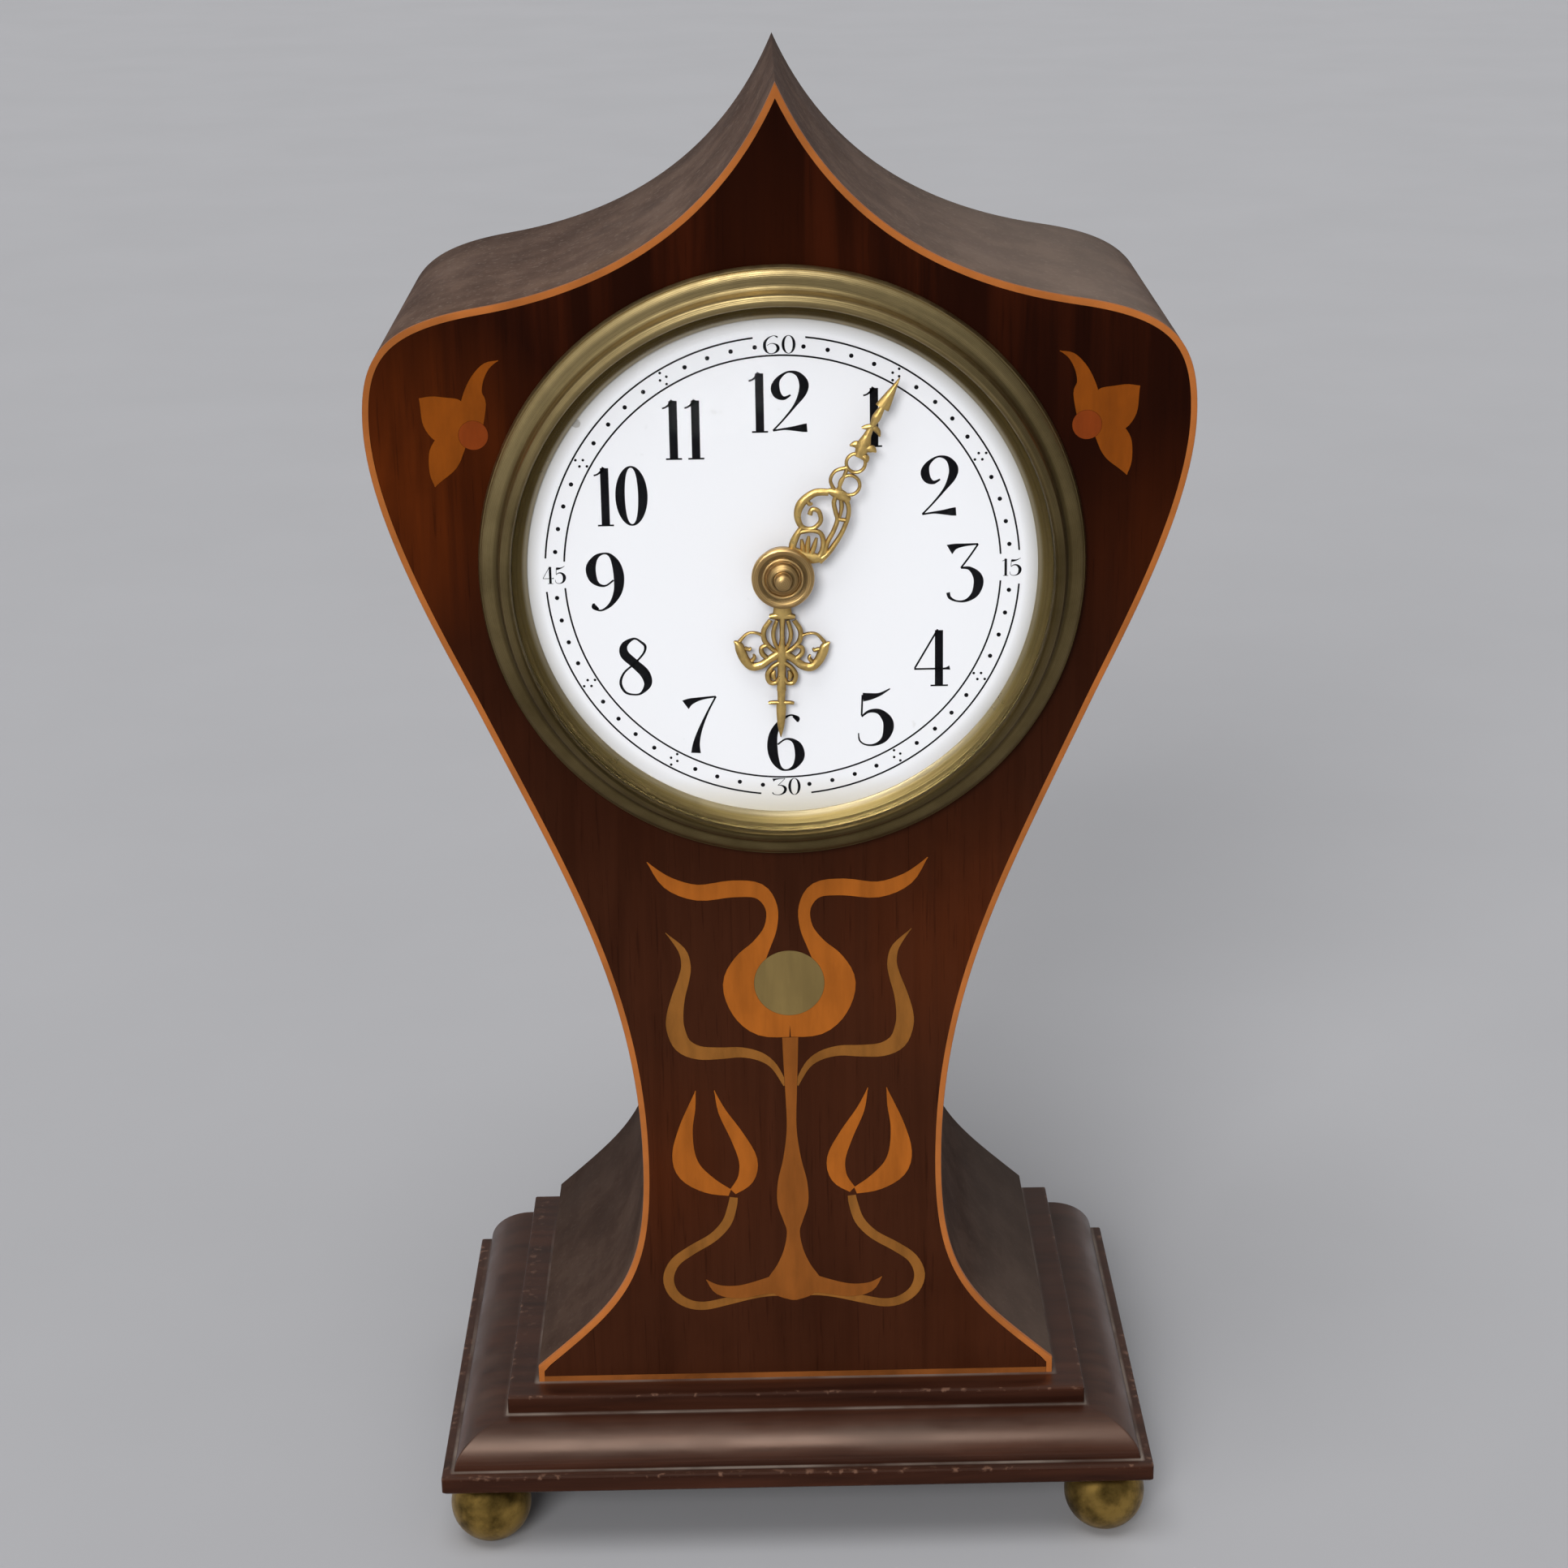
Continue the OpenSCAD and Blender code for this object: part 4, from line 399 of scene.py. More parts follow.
def arc(centre, radii, start, end, steps):
    """Points of an ellipse in a turned profile: 0 degrees is outwards, 90 towards the front."""
    points = []
    for k in range(steps + 1):
        a = math.radians(start + (end - start) * k / steps)
        points.append((centre[0] + radii[0] * math.cos(a), centre[1] - radii[1] * math.sin(a)))
    return points


def turns(count):
    """Cosine and sine of each of a number of equal turns."""
    angles = [2 * math.pi * k / count for k in range(count)]
    return [(math.cos(a), math.sin(a)) for a in angles]


def tube_faces(stations, section, closed_run):
    """Quads between neighbouring sections of a run, and its two caps unless the run is closed."""
    faces = []
    for i in range(stations if closed_run else stations - 1):
        a, b = i * section, (i + 1) % stations * section
        faces += [(a + j, a + (j + 1) % section, b + (j + 1) % section, b + j)
                  for j in range(section)]
    if not closed_run:
        faces.append(tuple(range(section - 1, -1, -1)))
        faces.append(tuple(range((stations - 1) * section, stations * section)))
    return faces


def turned(profile, segments):
    """A closed profile of radius and depth, turned about the dial's axis."""
    points = [on_dial(r * c, r * s, depth) for c, s in turns(segments) for r, depth in profile]
    return points, tube_faces(segments, len(profile), True)


def heading(degrees):
    return Vector((math.cos(math.radians(degrees)), math.sin(math.radians(degrees))))


def outline_run(steps, inset):
    """The right half of the outline moved inwards, with the same number of points for any inset."""
    run = []
    for i, (start, start_angle, start_pull, end, end_angle, end_pull) in enumerate(OUTLINE):
        a, d = Vector(start), Vector(end)
        b, c = a + start_pull * heading(start_angle), d - end_pull * heading(end_angle)
        for k in range(steps + 1 if i == len(OUTLINE) - 1 else steps):
            t = k / steps
            u = 1 - t
            p = u ** 3 * a + 3 * u * u * t * b + 3 * u * t * t * c + t ** 3 * d
            along = (u * u * (b - a) + 2 * u * t * (c - b) + t * t * (d - c)).normalized()
            run.append(p + inset * Vector((along.y, -along.x)))
    first = next(i for i, p in enumerate(run) if p.x > TINY)
    if first > 0:
        p, q = run[first - 1], run[first]
        peak = p.y - p.x * (q.y - p.y) / (q.x - p.x)
        run[:first] = [Vector((0, peak))] * first
    run = [Vector((min(p.x, FOOT_HALF - inset), max(p.y, 0))) if p.y < FOOT_RISE else p
           for p in run]
    return run + [Vector((FOOT_HALF - inset, 0))]


def outline_sweep(steps, section, side):
    """A section of inset and depth, carried along one half of the outline."""
    runs = [outline_run(steps, inset) for inset, depth in section]
    points = []
    for i in range(len(runs[0])):
        points += [on_panel(side * run[i].x, run[i].y, depth)
                   for run, (inset, depth) in zip(runs, section)]
    return points, tube_faces(len(runs[0]), len(section), False)


def smooth_line(points, steps=STROKE_STEPS):
    """Points on a smooth curve through the given ones."""
    line = []
    last = len(points) - 1
    rows = [Vector(p) for p in points]
    for i in range(last):
        a, b, c, d = rows[max(i - 1, 0)], rows[i], rows[i + 1], rows[min(i + 2, last)]
        for k in range(steps):
            t = k / steps
            line.append(0.5 * (2 * b + (c - a) * t + (2 * a - 5 * b + 4 * c - d) * t * t
                               + (3 * b - a - 3 * c + d) * t ** 3))
    return line + [rows[last]]


# Sections of a ribbon: shares of its width and of its height
FLAT = ((-0.5, 0), (-0.5, 1), (0.5, 1), (0.5, 0))
ROUNDED = ((-0.5, 0), (-0.5, 0.4), (-0.38, 0.72), (-0.2, 0.93), (0, 1), (0.2, 0.93), (0.38, 0.72),
           (0.5, 0.4), (0.5, 0))


def ribbon(line, section, height, place, closed=False):
    """A rib along a line of points across, up and width.

    Height gives a rib's height for its width, place puts across, up and height in the frame."""
    points = []
    count = len(line)
    for i, p in enumerate(line):
        a = line[(i - 1) % count] if closed else line[max(i - 1, 0)]
        b = line[(i + 1) % count] if closed else line[min(i + 1, count - 1)]
        run = Vector((b[0] - a[0], b[1] - a[1])).normalized()
        for u, h in section:
            points.append(place(p[0] - run.y * u * p[2], p[1] + run.x * u * p[2], h * height(p[2])))
    return points, tube_faces(count, len(section), closed)


def joined(*parts):
    """Several lists of points and faces as one."""
    points, faces = [], []
    for more, more_faces in parts:
        faces += [tuple(len(points) + i for i in face) for face in more_faces]
        points += more
    return points, faces


def stacked(rings, back, corner, steps=4):
    """A solid of stacked outlines with round front corners.

    Each ring is a half width, a front, a height, its dust with any painted sheen, and its wear."""
    points, dust, wear = [], [], []
    for half, front, z, dust_and_sheen_share, worn in rings:
        row = [(-half, back)]
        for centre, start in ((-half + corner, 180), (half - corner, 270)):
            for k in range(steps + 1):
                a = math.radians(start + 90 * k / steps)
                row.append((centre + corner * math.cos(a), front + corner + corner * math.sin(a)))
        row.append((half, back))
        points += [(x, y, z) for x, y in row]
        dust += [dust_and_sheen_share] * len(row)
        wear += [worn] * len(row)
    return points, tube_faces(len(rings), 2 * (steps + 1) + 2, False), {"dust": dust, "wear": wear}


def piece(name, shape, material, body, replaced=(), sharp=EDGE_SHARP):
    """A finished object from points in millimetres, riding on a CAD body."""
    points, faces, *marks = shape
    mesh = bpy.data.meshes.new(name)
    mesh.from_pydata([Vector(p) * MM for p in points], [], faces)
    for mark, values in (marks[0] if marks else {}).items():
        mesh.attributes.new(mark, "FLOAT", "POINT").data.foreach_set("value", values)
    work = bmesh.new()
    work.from_mesh(mesh)
    bmesh.ops.remove_doubles(work, verts=work.verts, dist=MERGE)
    bmesh.ops.dissolve_degenerate(work, edges=work.edges, dist=MERGE)
    bmesh.ops.recalc_face_normals(work, faces=work.faces)
    work.to_mesh(mesh)
    work.free()
    mesh.polygons.foreach_set("use_smooth", [True] * len(mesh.polygons))
    mesh.set_sharp_from_angle(angle=math.radians(sharp))
    mesh.materials.append(material)
    thing = bpy.data.objects.new(name, mesh)
    bpy.context.scene.collection.objects.link(thing)
    return dressed(thing, body, replaced)


def dressed(thing, body, replaced=()):
    """Parents a piece to the empty of its body and hides the CAD nodes it stands for."""
    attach(thing, body)
    if replaced:
        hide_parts(*replaced)
    return thing


def stamped(name, places, sizes, shape_nodes, values, material):
    """A mesh of one small shape stamped on many places by a node tree."""
    tree = bpy.data.node_groups.new(name, "GeometryNodeTree")
    new_socket = tree.interface.new_socket
    new_socket("Places", in_out="INPUT", socket_type="NodeSocketGeometry")
    inputs = {}
    for label, (kind, value) in values.items():
        inputs[label] = new_socket(label, in_out="INPUT", socket_type=kind)
    new_socket("Stamped", in_out="OUTPUT", socket_type="NodeSocketGeometry")
    source = tree.nodes.new("NodeGroupInput")
    result = tree.nodes.new("NodeGroupOutput")
    size = tree.nodes.new("GeometryNodeInputNamedAttribute")
    size.data_type = "FLOAT"
    size.inputs["Name"].default_value = "size"
    stamp = tree.nodes.new("GeometryNodeInstanceOnPoints")
    real = tree.nodes.new("GeometryNodeRealizeInstances")
    paint = tree.nodes.new("GeometryNodeSetMaterial")
    paint.inputs["Material"].default_value = material
    link = tree.links.new
    link(source.outputs["Places"], stamp.inputs["Points"])
    link(shape_nodes(tree, source), stamp.inputs["Instance"])
    link(size.outputs["Attribute"], stamp.inputs["Scale"])
    link(stamp.outputs["Instances"], real.inputs["Geometry"])
    link(real.outputs["Geometry"], paint.inputs["Geometry"])
    link(paint.outputs["Geometry"], result.inputs["Stamped"])
    mesh = bpy.data.meshes.new(name)
    mesh.from_pydata([Vector(p) * MM for p in places], [], [])
    mesh.attributes.new("size", "FLOAT", "POINT").data.foreach_set("value", sizes)
    thing = bpy.data.objects.new(name, mesh)
    bpy.context.scene.collection.objects.link(thing)
    modifier = thing.modifiers.new(name, "NODES")
    modifier.node_group = tree
    for label, (kind, value) in values.items():
        modifier[inputs[label].identifier] = value
    bpy.context.view_layer.update()
    seen = thing.evaluated_get(bpy.context.evaluated_depsgraph_get())
    thing.data = bpy.data.meshes.new_from_object(seen)
    thing.data.name = name
    thing.modifiers.clear()
    if len(thing.data.polygons) == 0:
        raise RuntimeError(name + " has no faces")
    return thing


# Finishes


class Finish:
    """A node material in the making: its tree, its shader and short ways to add nodes."""

    def __init__(self, name, **constants):
        self.material = bpy.data.materials.new(name)
        self.material.use_nodes = True
        self.tree = self.material.node_tree
        self.shader = self.tree.nodes["Principled BSDF"]
        self.place = self.add("ShaderNodeTexCoord").outputs["Object"]
        for socket, value in constants.items():
            self.shader.inputs[socket.replace("_", " ")].default_value = value

    def add(self, kind, **settings):
        node = self.tree.nodes.new(kind)
        for key, value in settings.items():
            setattr(node, key, value)
        return node

    def feed(self, socket, value):
        if isinstance(value, bpy.types.NodeSocket):
            self.tree.links.new(value, socket)
        elif socket.type == "RGBA":
            socket.default_value = (*value[:3], 1)
        else:
            socket.default_value = value

    def set(self, socket, value):
        self.feed(self.shader.inputs[socket], value)

    def mapped(self, scale, centre):
        node = self.add("ShaderNodeMapping")
        node.inputs["Scale"].default_value = scale
        node.inputs["Location"].default_value = [-c * MM * s for c, s in zip(centre, scale)]
        self.feed(node.inputs["Vector"], self.place)
        return node.outputs["Vector"]

    def noise(self, scale, detail=4, roughness=0.55, distortion=0, centre=(0, 0, 0)):
        """Noise with one scale, or one for each axis."""
        scale = (scale,) * 3 if isinstance(scale, (int, float)) else scale
        node = self.add("ShaderNodeTexNoise")
        self.feed(node.inputs["Vector"], self.mapped(scale, centre))
        for socket, value in (("Scale", 1), ("Detail", detail), ("Roughness", roughness),
                              ("Distortion", distortion)):
            node.inputs[socket].default_value = value
        return node.outputs["Fac"]

    def spot(self, centre, radius):
        """One in the middle of a soft ball, falling to nought at its radius."""
        node = self.add("ShaderNodeTexGradient", gradient_type="SPHERICAL")
        self.feed(node.inputs["Vector"], self.mapped((1 / (radius * MM),) * 3, centre))
        return node.outputs["Fac"]

    def ramp(self, value, *stops):
        node = self.add("ShaderNodeValToRGB")
        elements = node.color_ramp.elements
        elements[0].position, elements[0].color = stops[0][0], (*stops[0][1], 1)
        elements[1].position, elements[1].color = stops[-1][0], (*stops[-1][1], 1)
        for position, shade in stops[1:-1]:
            elements.new(position).color = (*shade, 1)
        self.feed(node.inputs["Fac"], value)
        return node.outputs["Color"]

    def mix(self, share, first, second):
        node = self.add("ShaderNodeMix", data_type="RGBA")
        self.feed(node.inputs[0], share)
        self.feed(node.inputs[6], first)
        self.feed(node.inputs[7], second)
        return node.outputs[2]

    def math(self, operation, first, second=0.0):
        node = self.add("ShaderNodeMath", operation=operation)
        self.feed(node.inputs[0], first)
        self.feed(node.inputs[1], second)
        return node.outputs[0]

    def times(self, first, second):
        return self.math("MULTIPLY", first, second)

    def span(self, value, low, high, to_low=0.0, to_high=1.0):
        """The value carried from one range to another, and held at its ends."""
        node = self.add("ShaderNodeMapRange")
        self.feed(node.inputs["Value"], value)
        for socket, number in (("From Min", low), ("From Max", high), ("To Min", to_low),
                               ("To Max", to_high)):
            node.inputs[socket].default_value = number
        return node.outputs["Result"]

    def mark(self, name):
        return self.add("ShaderNodeAttribute", attribute_name=name).outputs["Fac"]

    def apart(self, vector=None):
        """A vector, or else the place, by its three parts."""
        node = self.add("ShaderNodeSeparateXYZ")
        self.feed(node.inputs[0], self.place if vector is None else vector)
        return node.outputs

    def facing(self, kind):
        """The parts of the surface's direction."""
        return self.apart(self.add("ShaderNodeNewGeometry").outputs[kind])

    def dial_radius(self):
        """Distance from the dial's axis in millimetres."""
        across = self.apart()
        up = self.math("SUBTRACT", across["Z"], DIAL_Z * MM)
        square = self.math("ADD", self.times(across["X"], across["X"]), self.times(up, up))
        return self.math("DIVIDE", self.math("SQRT", square), MM)

    def bump(self, height, strength, distance):
        node = self.add("ShaderNodeBump")
        node.inputs["Strength"].default_value = strength
        node.inputs["Distance"].default_value = distance * MM
        self.feed(node.inputs["Height"], height)
        self.set("Normal", node.outputs["Normal"])


def front_wood(case):
    """French-polished front veneer, flamed at the crest: dark round the dial, browner below and
    with pale spots, partly the veneer's own tone and partly painted reflection.
    """
    f = Finish("mahogany_front", Specular_IOR_Level=0.03, Roughness=0.36)
    grain = f.noise((700, 700, 14), detail=6, roughness=0.6, distortion=0.3)
    figure = f.noise((110, 110, 12), distortion=0.7)
    cloud = f.noise((55, 55, 38), distortion=0.6)
    pores = f.noise((2400, 2400, 90), detail=2)
    flame = f.noise((190, 190, 9), roughness=0.6, distortion=0.4)
    height = f.apart()["Z"]
    base = f.mix(f.span(height, 0.2, 0.11), case.front_upper, case.front_lower)
    # Pale spots: partly bleached veneer, partly painted reflection
    glow = 0.0
    for x, z, radius, share in FRONT_GLOWS:
        glow = f.math("ADD", glow, f.times(f.spot((x, CASE_FRONT, z), radius), share))
    base = f.mix(f.times(glow, f.span(figure, 0.36, 0.68, 0.4, 1.0)), base, case.front_bleach_and_reflection)
    crest = f.times(f.span(flame, 0.45, 0.64), f.span(height, 0.205, 0.24, 0.06, 0.5))
    base = f.mix(crest, base, FLAME)
    shade = [0.45 * c for c in case.front_upper]
    for pattern, low, share, depth in ((figure, 0.48, 0.5, 0.5), (cloud, 0.45, 0.45, 0.4),
                                       (grain, 0.4, 0.35, 0.5)):
        base = f.mix(f.span(pattern, low, 0.7, 0.0, share), base, f.mix(depth, base, shade))
    base = f.mix(f.span(pores, 0.6, 0.72, 0, 0.35), base, shade)
    f.set("Base Color", base)
    f.bump(pores, 0.08, 0.06)
    return f.material


def side_wood(case):
    """Satin bent sides, stained and rubbed near the front edge, with painted shade in the flares
    and towards the back, and upward faces paled by dust and a painted sheen that grows towards the
    right.
    """
    f = Finish("mahogany_side", Specular_IOR_Level=0.004, Specular_Tint=(1, 0.82, 0.7, 1))
    streaks = f.noise((150, 9, 150), detail=5, distortion=0.5)
    cloud = f.noise(34)
    specks = f.noise(1000, detail=2)
    stain = f.noise((85, 60, 85), centre=(5, 9, 2), detail=5, roughness=0.65)
    where = f.apart()
    base = f.ramp(streaks, (0.05, case.side_dark), (0.95, case.side_light))
    near = f.span(where["Y"], (CASE_FRONT + 1) * MM, (CASE_FRONT + 18) * MM, 1, 0)
    rubbed = f.times(near, f.span(cloud, 0.5, 0.64))
    base = f.mix(f.times(rubbed, 0.5), base, RUBBED)
    base = f.mix(f.span(stain, 0.45, 0.66, 0, 0.6), base, STAIN)
    base = f.mix(f.span(stain, 0.5, 0.36, 0, 0.35), base, BLEACHED)
    # Painted shade: darker towards the foot of each flare, by the plinth
    painted_flare_shade = f.span(where["Z"], (CASE_BOTTOM + 48) * MM, (CASE_BOTTOM + 12) * MM, 0, 0.55)
    base = f.mix(painted_flare_shade, base, PAINTED_FLARE_SHADE)
    # Painted shade: darker towards the back
    far = f.span(where["Y"], 0.02, 0.046, 0, 0.45)
    base = f.mix(f.times(far, f.span(cloud, 0.4, 0.6, 0.6, 1)), base, PAINTED_BACK_SHADE)
    base = f.mix(f.span(cloud, 0.5, 0.72, 0, 0.3), base, HAZE)
    # Upward faces paled by dust and a painted sheen, more towards the right as painted light
    lying = f.span(f.facing("Normal")["Z"], 0.55, 0.95)
    rightward_sheen = f.span(where["X"], -0.04, 0.05, 0.04, 0.4)
    base = f.mix(f.times(lying, rightward_sheen), base, case.dust)
    high = f.span(where["Z"], 0.08, 0.15, 0.15, 1)
    base = f.mix(f.times(high, f.span(specks, 0.59, 0.7, 0, 0.45)), base, SPECK)
    foot = f.span(where["Z"], CASE_BOTTOM * MM, (CASE_BOTTOM + 0.8) * MM, 0.8, 0)
    base = f.mix(f.times(foot, f.span(cloud, 0.3, 0.6, 0.4, 1)), base, case.dust)
    f.set("Base Color", base)
    f.set("Roughness", f.span(cloud, 0.3, 0.7, 0.48, 0.62))
    f.bump(specks, 0.08, 0.06)
    return f.material


def plinth_wood(case):
    """Dark polished plinth with dust in its corners, a painted sheen along the middle of the ovolo,
    and worn edges.
    """
    f = Finish("mahogany_plinth", Specular_Tint=(1, 0.7, 0.55, 1))
    across = f.noise((22, 320, 320), detail=5, roughness=0.6, distortion=0.4)
    deep = f.noise((320, 22, 320), centre=(7, 3, 1), detail=5, roughness=0.6, distortion=0.4)
    fine = f.noise(900, detail=3)
    cloud = f.noise((50, 90, 220))
    facing = f.facing("True Normal")
    sideways = f.span(f.math("ABSOLUTE", facing["X"]), 0.45, 0.55)
    grain = f.mix(sideways, across, deep)
    base = f.ramp(grain, (0.28, case.plinth_dark), (0.74, case.plinth_light))
    worn = f.times(f.mark("wear"), f.span(f.noise(600), 0.57, 0.66))
    base = f.mix(f.times(worn, 0.45), base, WORN_EDGE)
    dust_and_sheen_share = f.times(f.mark("dust"), f.span(cloud, 0.38, 0.62, 0.2, 0.9))
    f.set("Base Color", f.mix(dust_and_sheen_share, base, case.dust))
    f.set("Specular IOR Level", f.span(facing["Z"], 0.05, 0.5, 0.2, 1.0))
    f.set("Roughness", f.math("ADD", f.span(cloud, 0.35, 0.65, 0.28, 0.42), f.times(dust_and_sheen_share, 0.2)))
    f.bump(fine, 0.07, 0.08)
    return f.material


def inlay_wood(name, shade, darker, stretch):
    """A small piece of veneer: fine grain and a slightly scorched cloud."""
    f = Finish(name, Specular_IOR_Level=0.1, Coat_Weight=0.02, Coat_Roughness=0.15,
               Roughness=0.34)
    grain = f.noise(stretch, detail=5, roughness=0.6)
    cloud = f.noise(110, detail=3)
    deep = [c * darker for c in shade]
    pale = [min(c * 1.18, 1) for c in shade]
    base = f.ramp(grain, (0.3, deep), (0.55, shade), (0.78, pale))
    f.set("Base Color", f.mix(f.span(cloud, 0.48, 0.7, 0, 0.45), base, deep))
    f.bump(grain, 0.05, 0.05)
    return f.material


def carcase_wood():
    """Unpolished boards inside and behind."""
    f = Finish("carcase_wood", Specular_IOR_Level=0.2)
    grain = f.noise((300, 300, 9), detail=6, roughness=0.62, distortion=0.6)
    rings = f.noise((40, 40, 4), detail=2, distortion=1.2)
    base = f.ramp(grain, (0.25, BOARD_DARK), (0.75, BOARD_LIGHT))
    f.set("Base Color", f.mix(f.span(rings, 0.4, 0.65, 0, 0.5), base, BOARD_RING))
    f.set("Roughness", f.span(grain, 0.3, 0.7, 0.6, 0.8))
    f.bump(grain, 0.15, 0.15)
    return f.material


def turned_brass(name, bright, dark, lines, roughness, tarnish, grooves=(), shade_slope=None):
    """Brass off the lathe: fine rings about the dial's axis and clouds of tarnish.

    Grooves are a radius, a half width, a share and a shade. A shade slope paints shade: a shaded
    level, a lit level and the share of dark at the shaded one, where tarnish, rings and grooves
    also show deeper; levels rise towards the upper left."""
    f = Finish(name, Metallic=1.0)
    radius = f.dial_radius()
    rings = f.math("SINE", f.times(radius, lines))
    cloud = f.noise(90, detail=5, roughness=0.6)
    fine = f.noise(700, detail=3)
    base, deep = bright, 1.0
    # Painted shade: darker towards the shaded level, where tarnish, lathe rings and grooves also
    # show deeper
    if shade_slope:
        shaded_level, lit_level, share = shade_slope
        where = f.apart()
        level = f.math("SUBTRACT", where["Z"], f.times(where["X"], 0.25))
        painted_shade = f.span(level, (DIAL_Z + shaded_level) * MM, (DIAL_Z + lit_level) * MM, 1, 0)
        base = f.mix(f.times(painted_shade, share), base, dark)
        deep = f.math("ADD", f.times(painted_shade, 0.5), 0.5)
    base = f.mix(f.times(f.span(cloud, 0.38, 0.7, 0, tarnish), deep), base, dark)
    base = f.mix(f.times(f.span(rings, 0.2, 1.0, 0, 0.35), deep), base, dark)
    for middle, half, share, shade in grooves:
        away = f.math("ABSOLUTE", f.math("SUBTRACT", radius, middle))
        base = f.mix(f.times(f.span(away, 0.4 * half, half, share, 0), deep), base, shade)
    f.set("Base Color", base)
    f.set("Roughness", f.math("ADD", f.span(cloud, 0.3, 0.7, roughness - 0.05, roughness + 0.12),
                              f.span(fine, 0.4, 0.7, 0, 0.08)))
    f.bump(rings, 0.18, 0.04)
    return f.material


def cast_metal(name, bright, dark, roughness, patina):
    """Cast, gilt or tarnished metal with a cloudy patina."""
    f = Finish(name, Metallic=1.0)
    cloud = f.noise(240, detail=5, roughness=0.6)
    fine = f.noise(1440, detail=3)
    f.set("Base Color", f.mix(f.span(cloud, 0.4, 0.68, 0, patina), bright, dark))
    f.set("Roughness", f.span(cloud, 0.3, 0.7, roughness, roughness + 0.18))
    f.bump(fine, 0.1, 0.05)
    return f.material


def hand_finish(name, metal, back):
    """Gilt, pale on its ribs and brown low down towards its back: partly patina in the recesses and
    partly painted shade on the ribs' sides.
    """
    f = Finish(name, Metallic=1.0)
    cloud = f.noise(420, detail=5, roughness=0.6)
    fine = f.noise(1600, detail=3)
    plane = (CASE_FRONT + back) * MM
    # Painted shade with patina: brown low down on the ribs' sides
    low = f.span(f.apart()["Y"], plane - 0.62 * MM, plane - 0.12 * MM)
    base = f.mix(f.span(cloud, 0.42, 0.7, 0, 0.45), metal.gilt, metal.gilt_patina_and_shade)
    f.set("Base Color", f.mix(low, base, metal.gilt_patina_and_shade))
    f.set("Roughness", f.span(cloud, 0.3, 0.7, 0.26, 0.42))
    f.bump(fine, 0.12, 0.05)
    return f.material


def enamel_finish(dial):
    """Fired white enamel with a chip and fine specks, greyed at its rim by a painted shadow of the
    bezel, and darker and warmer at its foot by painted shade with a painted reflection of the
    brass.
    """
    f = Finish("enamel", Roughness=0.2, Specular_IOR_Level=0.2)
    specks = f.noise(420, detail=2)
    height = f.apart()["Z"]
    # Painted shadow of the bezel: grey round the rim, less at the bottom
    rim = f.times(f.span(f.dial_radius(), 41.2, 43.6, 0, 0.7),
                  f.span(height, (DIAL_Z - 42) * MM, (DIAL_Z - 26) * MM, 0.1, 1))
    base = f.mix(rim, dial.enamel, PAINTED_BEZEL_SHADOW)
    # Painted shade with a painted reflection of the brass: darker and warmer at the foot
    low = f.span(height, (DIAL_Z - 37) * MM, (DIAL_Z - 43) * MM, 0, 0.8)
    base = f.mix(low, base, PAINTED_FOOT_SHADE)
    base = f.mix(f.span(specks, 0.74, 0.8, 0, 0.2), base, ENAMEL_SPECK)
    chip = f.times(f.spot((-34.2, CASE_FRONT + DIAL_FACE_S, DIAL_Z + 26.2), 1.1),
                   f.span(f.noise(1400, detail=2), 0.35, 0.6, 0.6, 1.6))
    f.set("Base Color", f.mix(f.span(chip, 0.3, 0.5, 0, 0.6), base, ENAMEL_CHIP))
    return f.material


def paint_finish(dial):
    """Fired black paint, a little uneven."""
    f = Finish("figure_paint", Roughness=0.5, Specular_IOR_Level=0.1)
    uneven = f.span(f.noise(900, detail=3), 0.6, 0.8, 0, 0.3)
    f.set("Base Color", f.mix(uneven, dial.paint, PAINT_PALE))
    return f.material


def glass_finish():
    """Clear dome with hardly a reflection: it casts no shadow, so the dial stays bright."""
    f = Finish("clear_glass", Base_Color=(1, 1, 1, 1), Roughness=0.0, IOR=1.08,
               Transmission_Weight=1.0)
    out = f.tree.nodes["Material Output"]
    both = f.add("ShaderNodeMixShader")
    path = f.add("ShaderNodeLightPath").outputs
    f.feed(both.inputs[0], f.math("MAXIMUM", path["Is Shadow Ray"], path["Is Diffuse Ray"]))
    f.feed(both.inputs[1], f.shader.outputs["BSDF"])
    f.feed(both.inputs[2], f.add("ShaderNodeBsdfTransparent").outputs["BSDF"])
    f.feed(out.inputs["Surface"], both.outputs["Shader"])
    return f.material


def floor_finish(stage):
    """Plain pale floor with a faint unevenness."""
    f = Finish("plain_floor", Roughness=0.85, Specular_IOR_Level=0.1)
    uneven = f.span(f.noise(9), 0.35, 0.65, 0, 0.08)
    f.set("Base Color", f.mix(uneven, stage.floor, FLOOR_SHADE))
    return f.material


# Operators


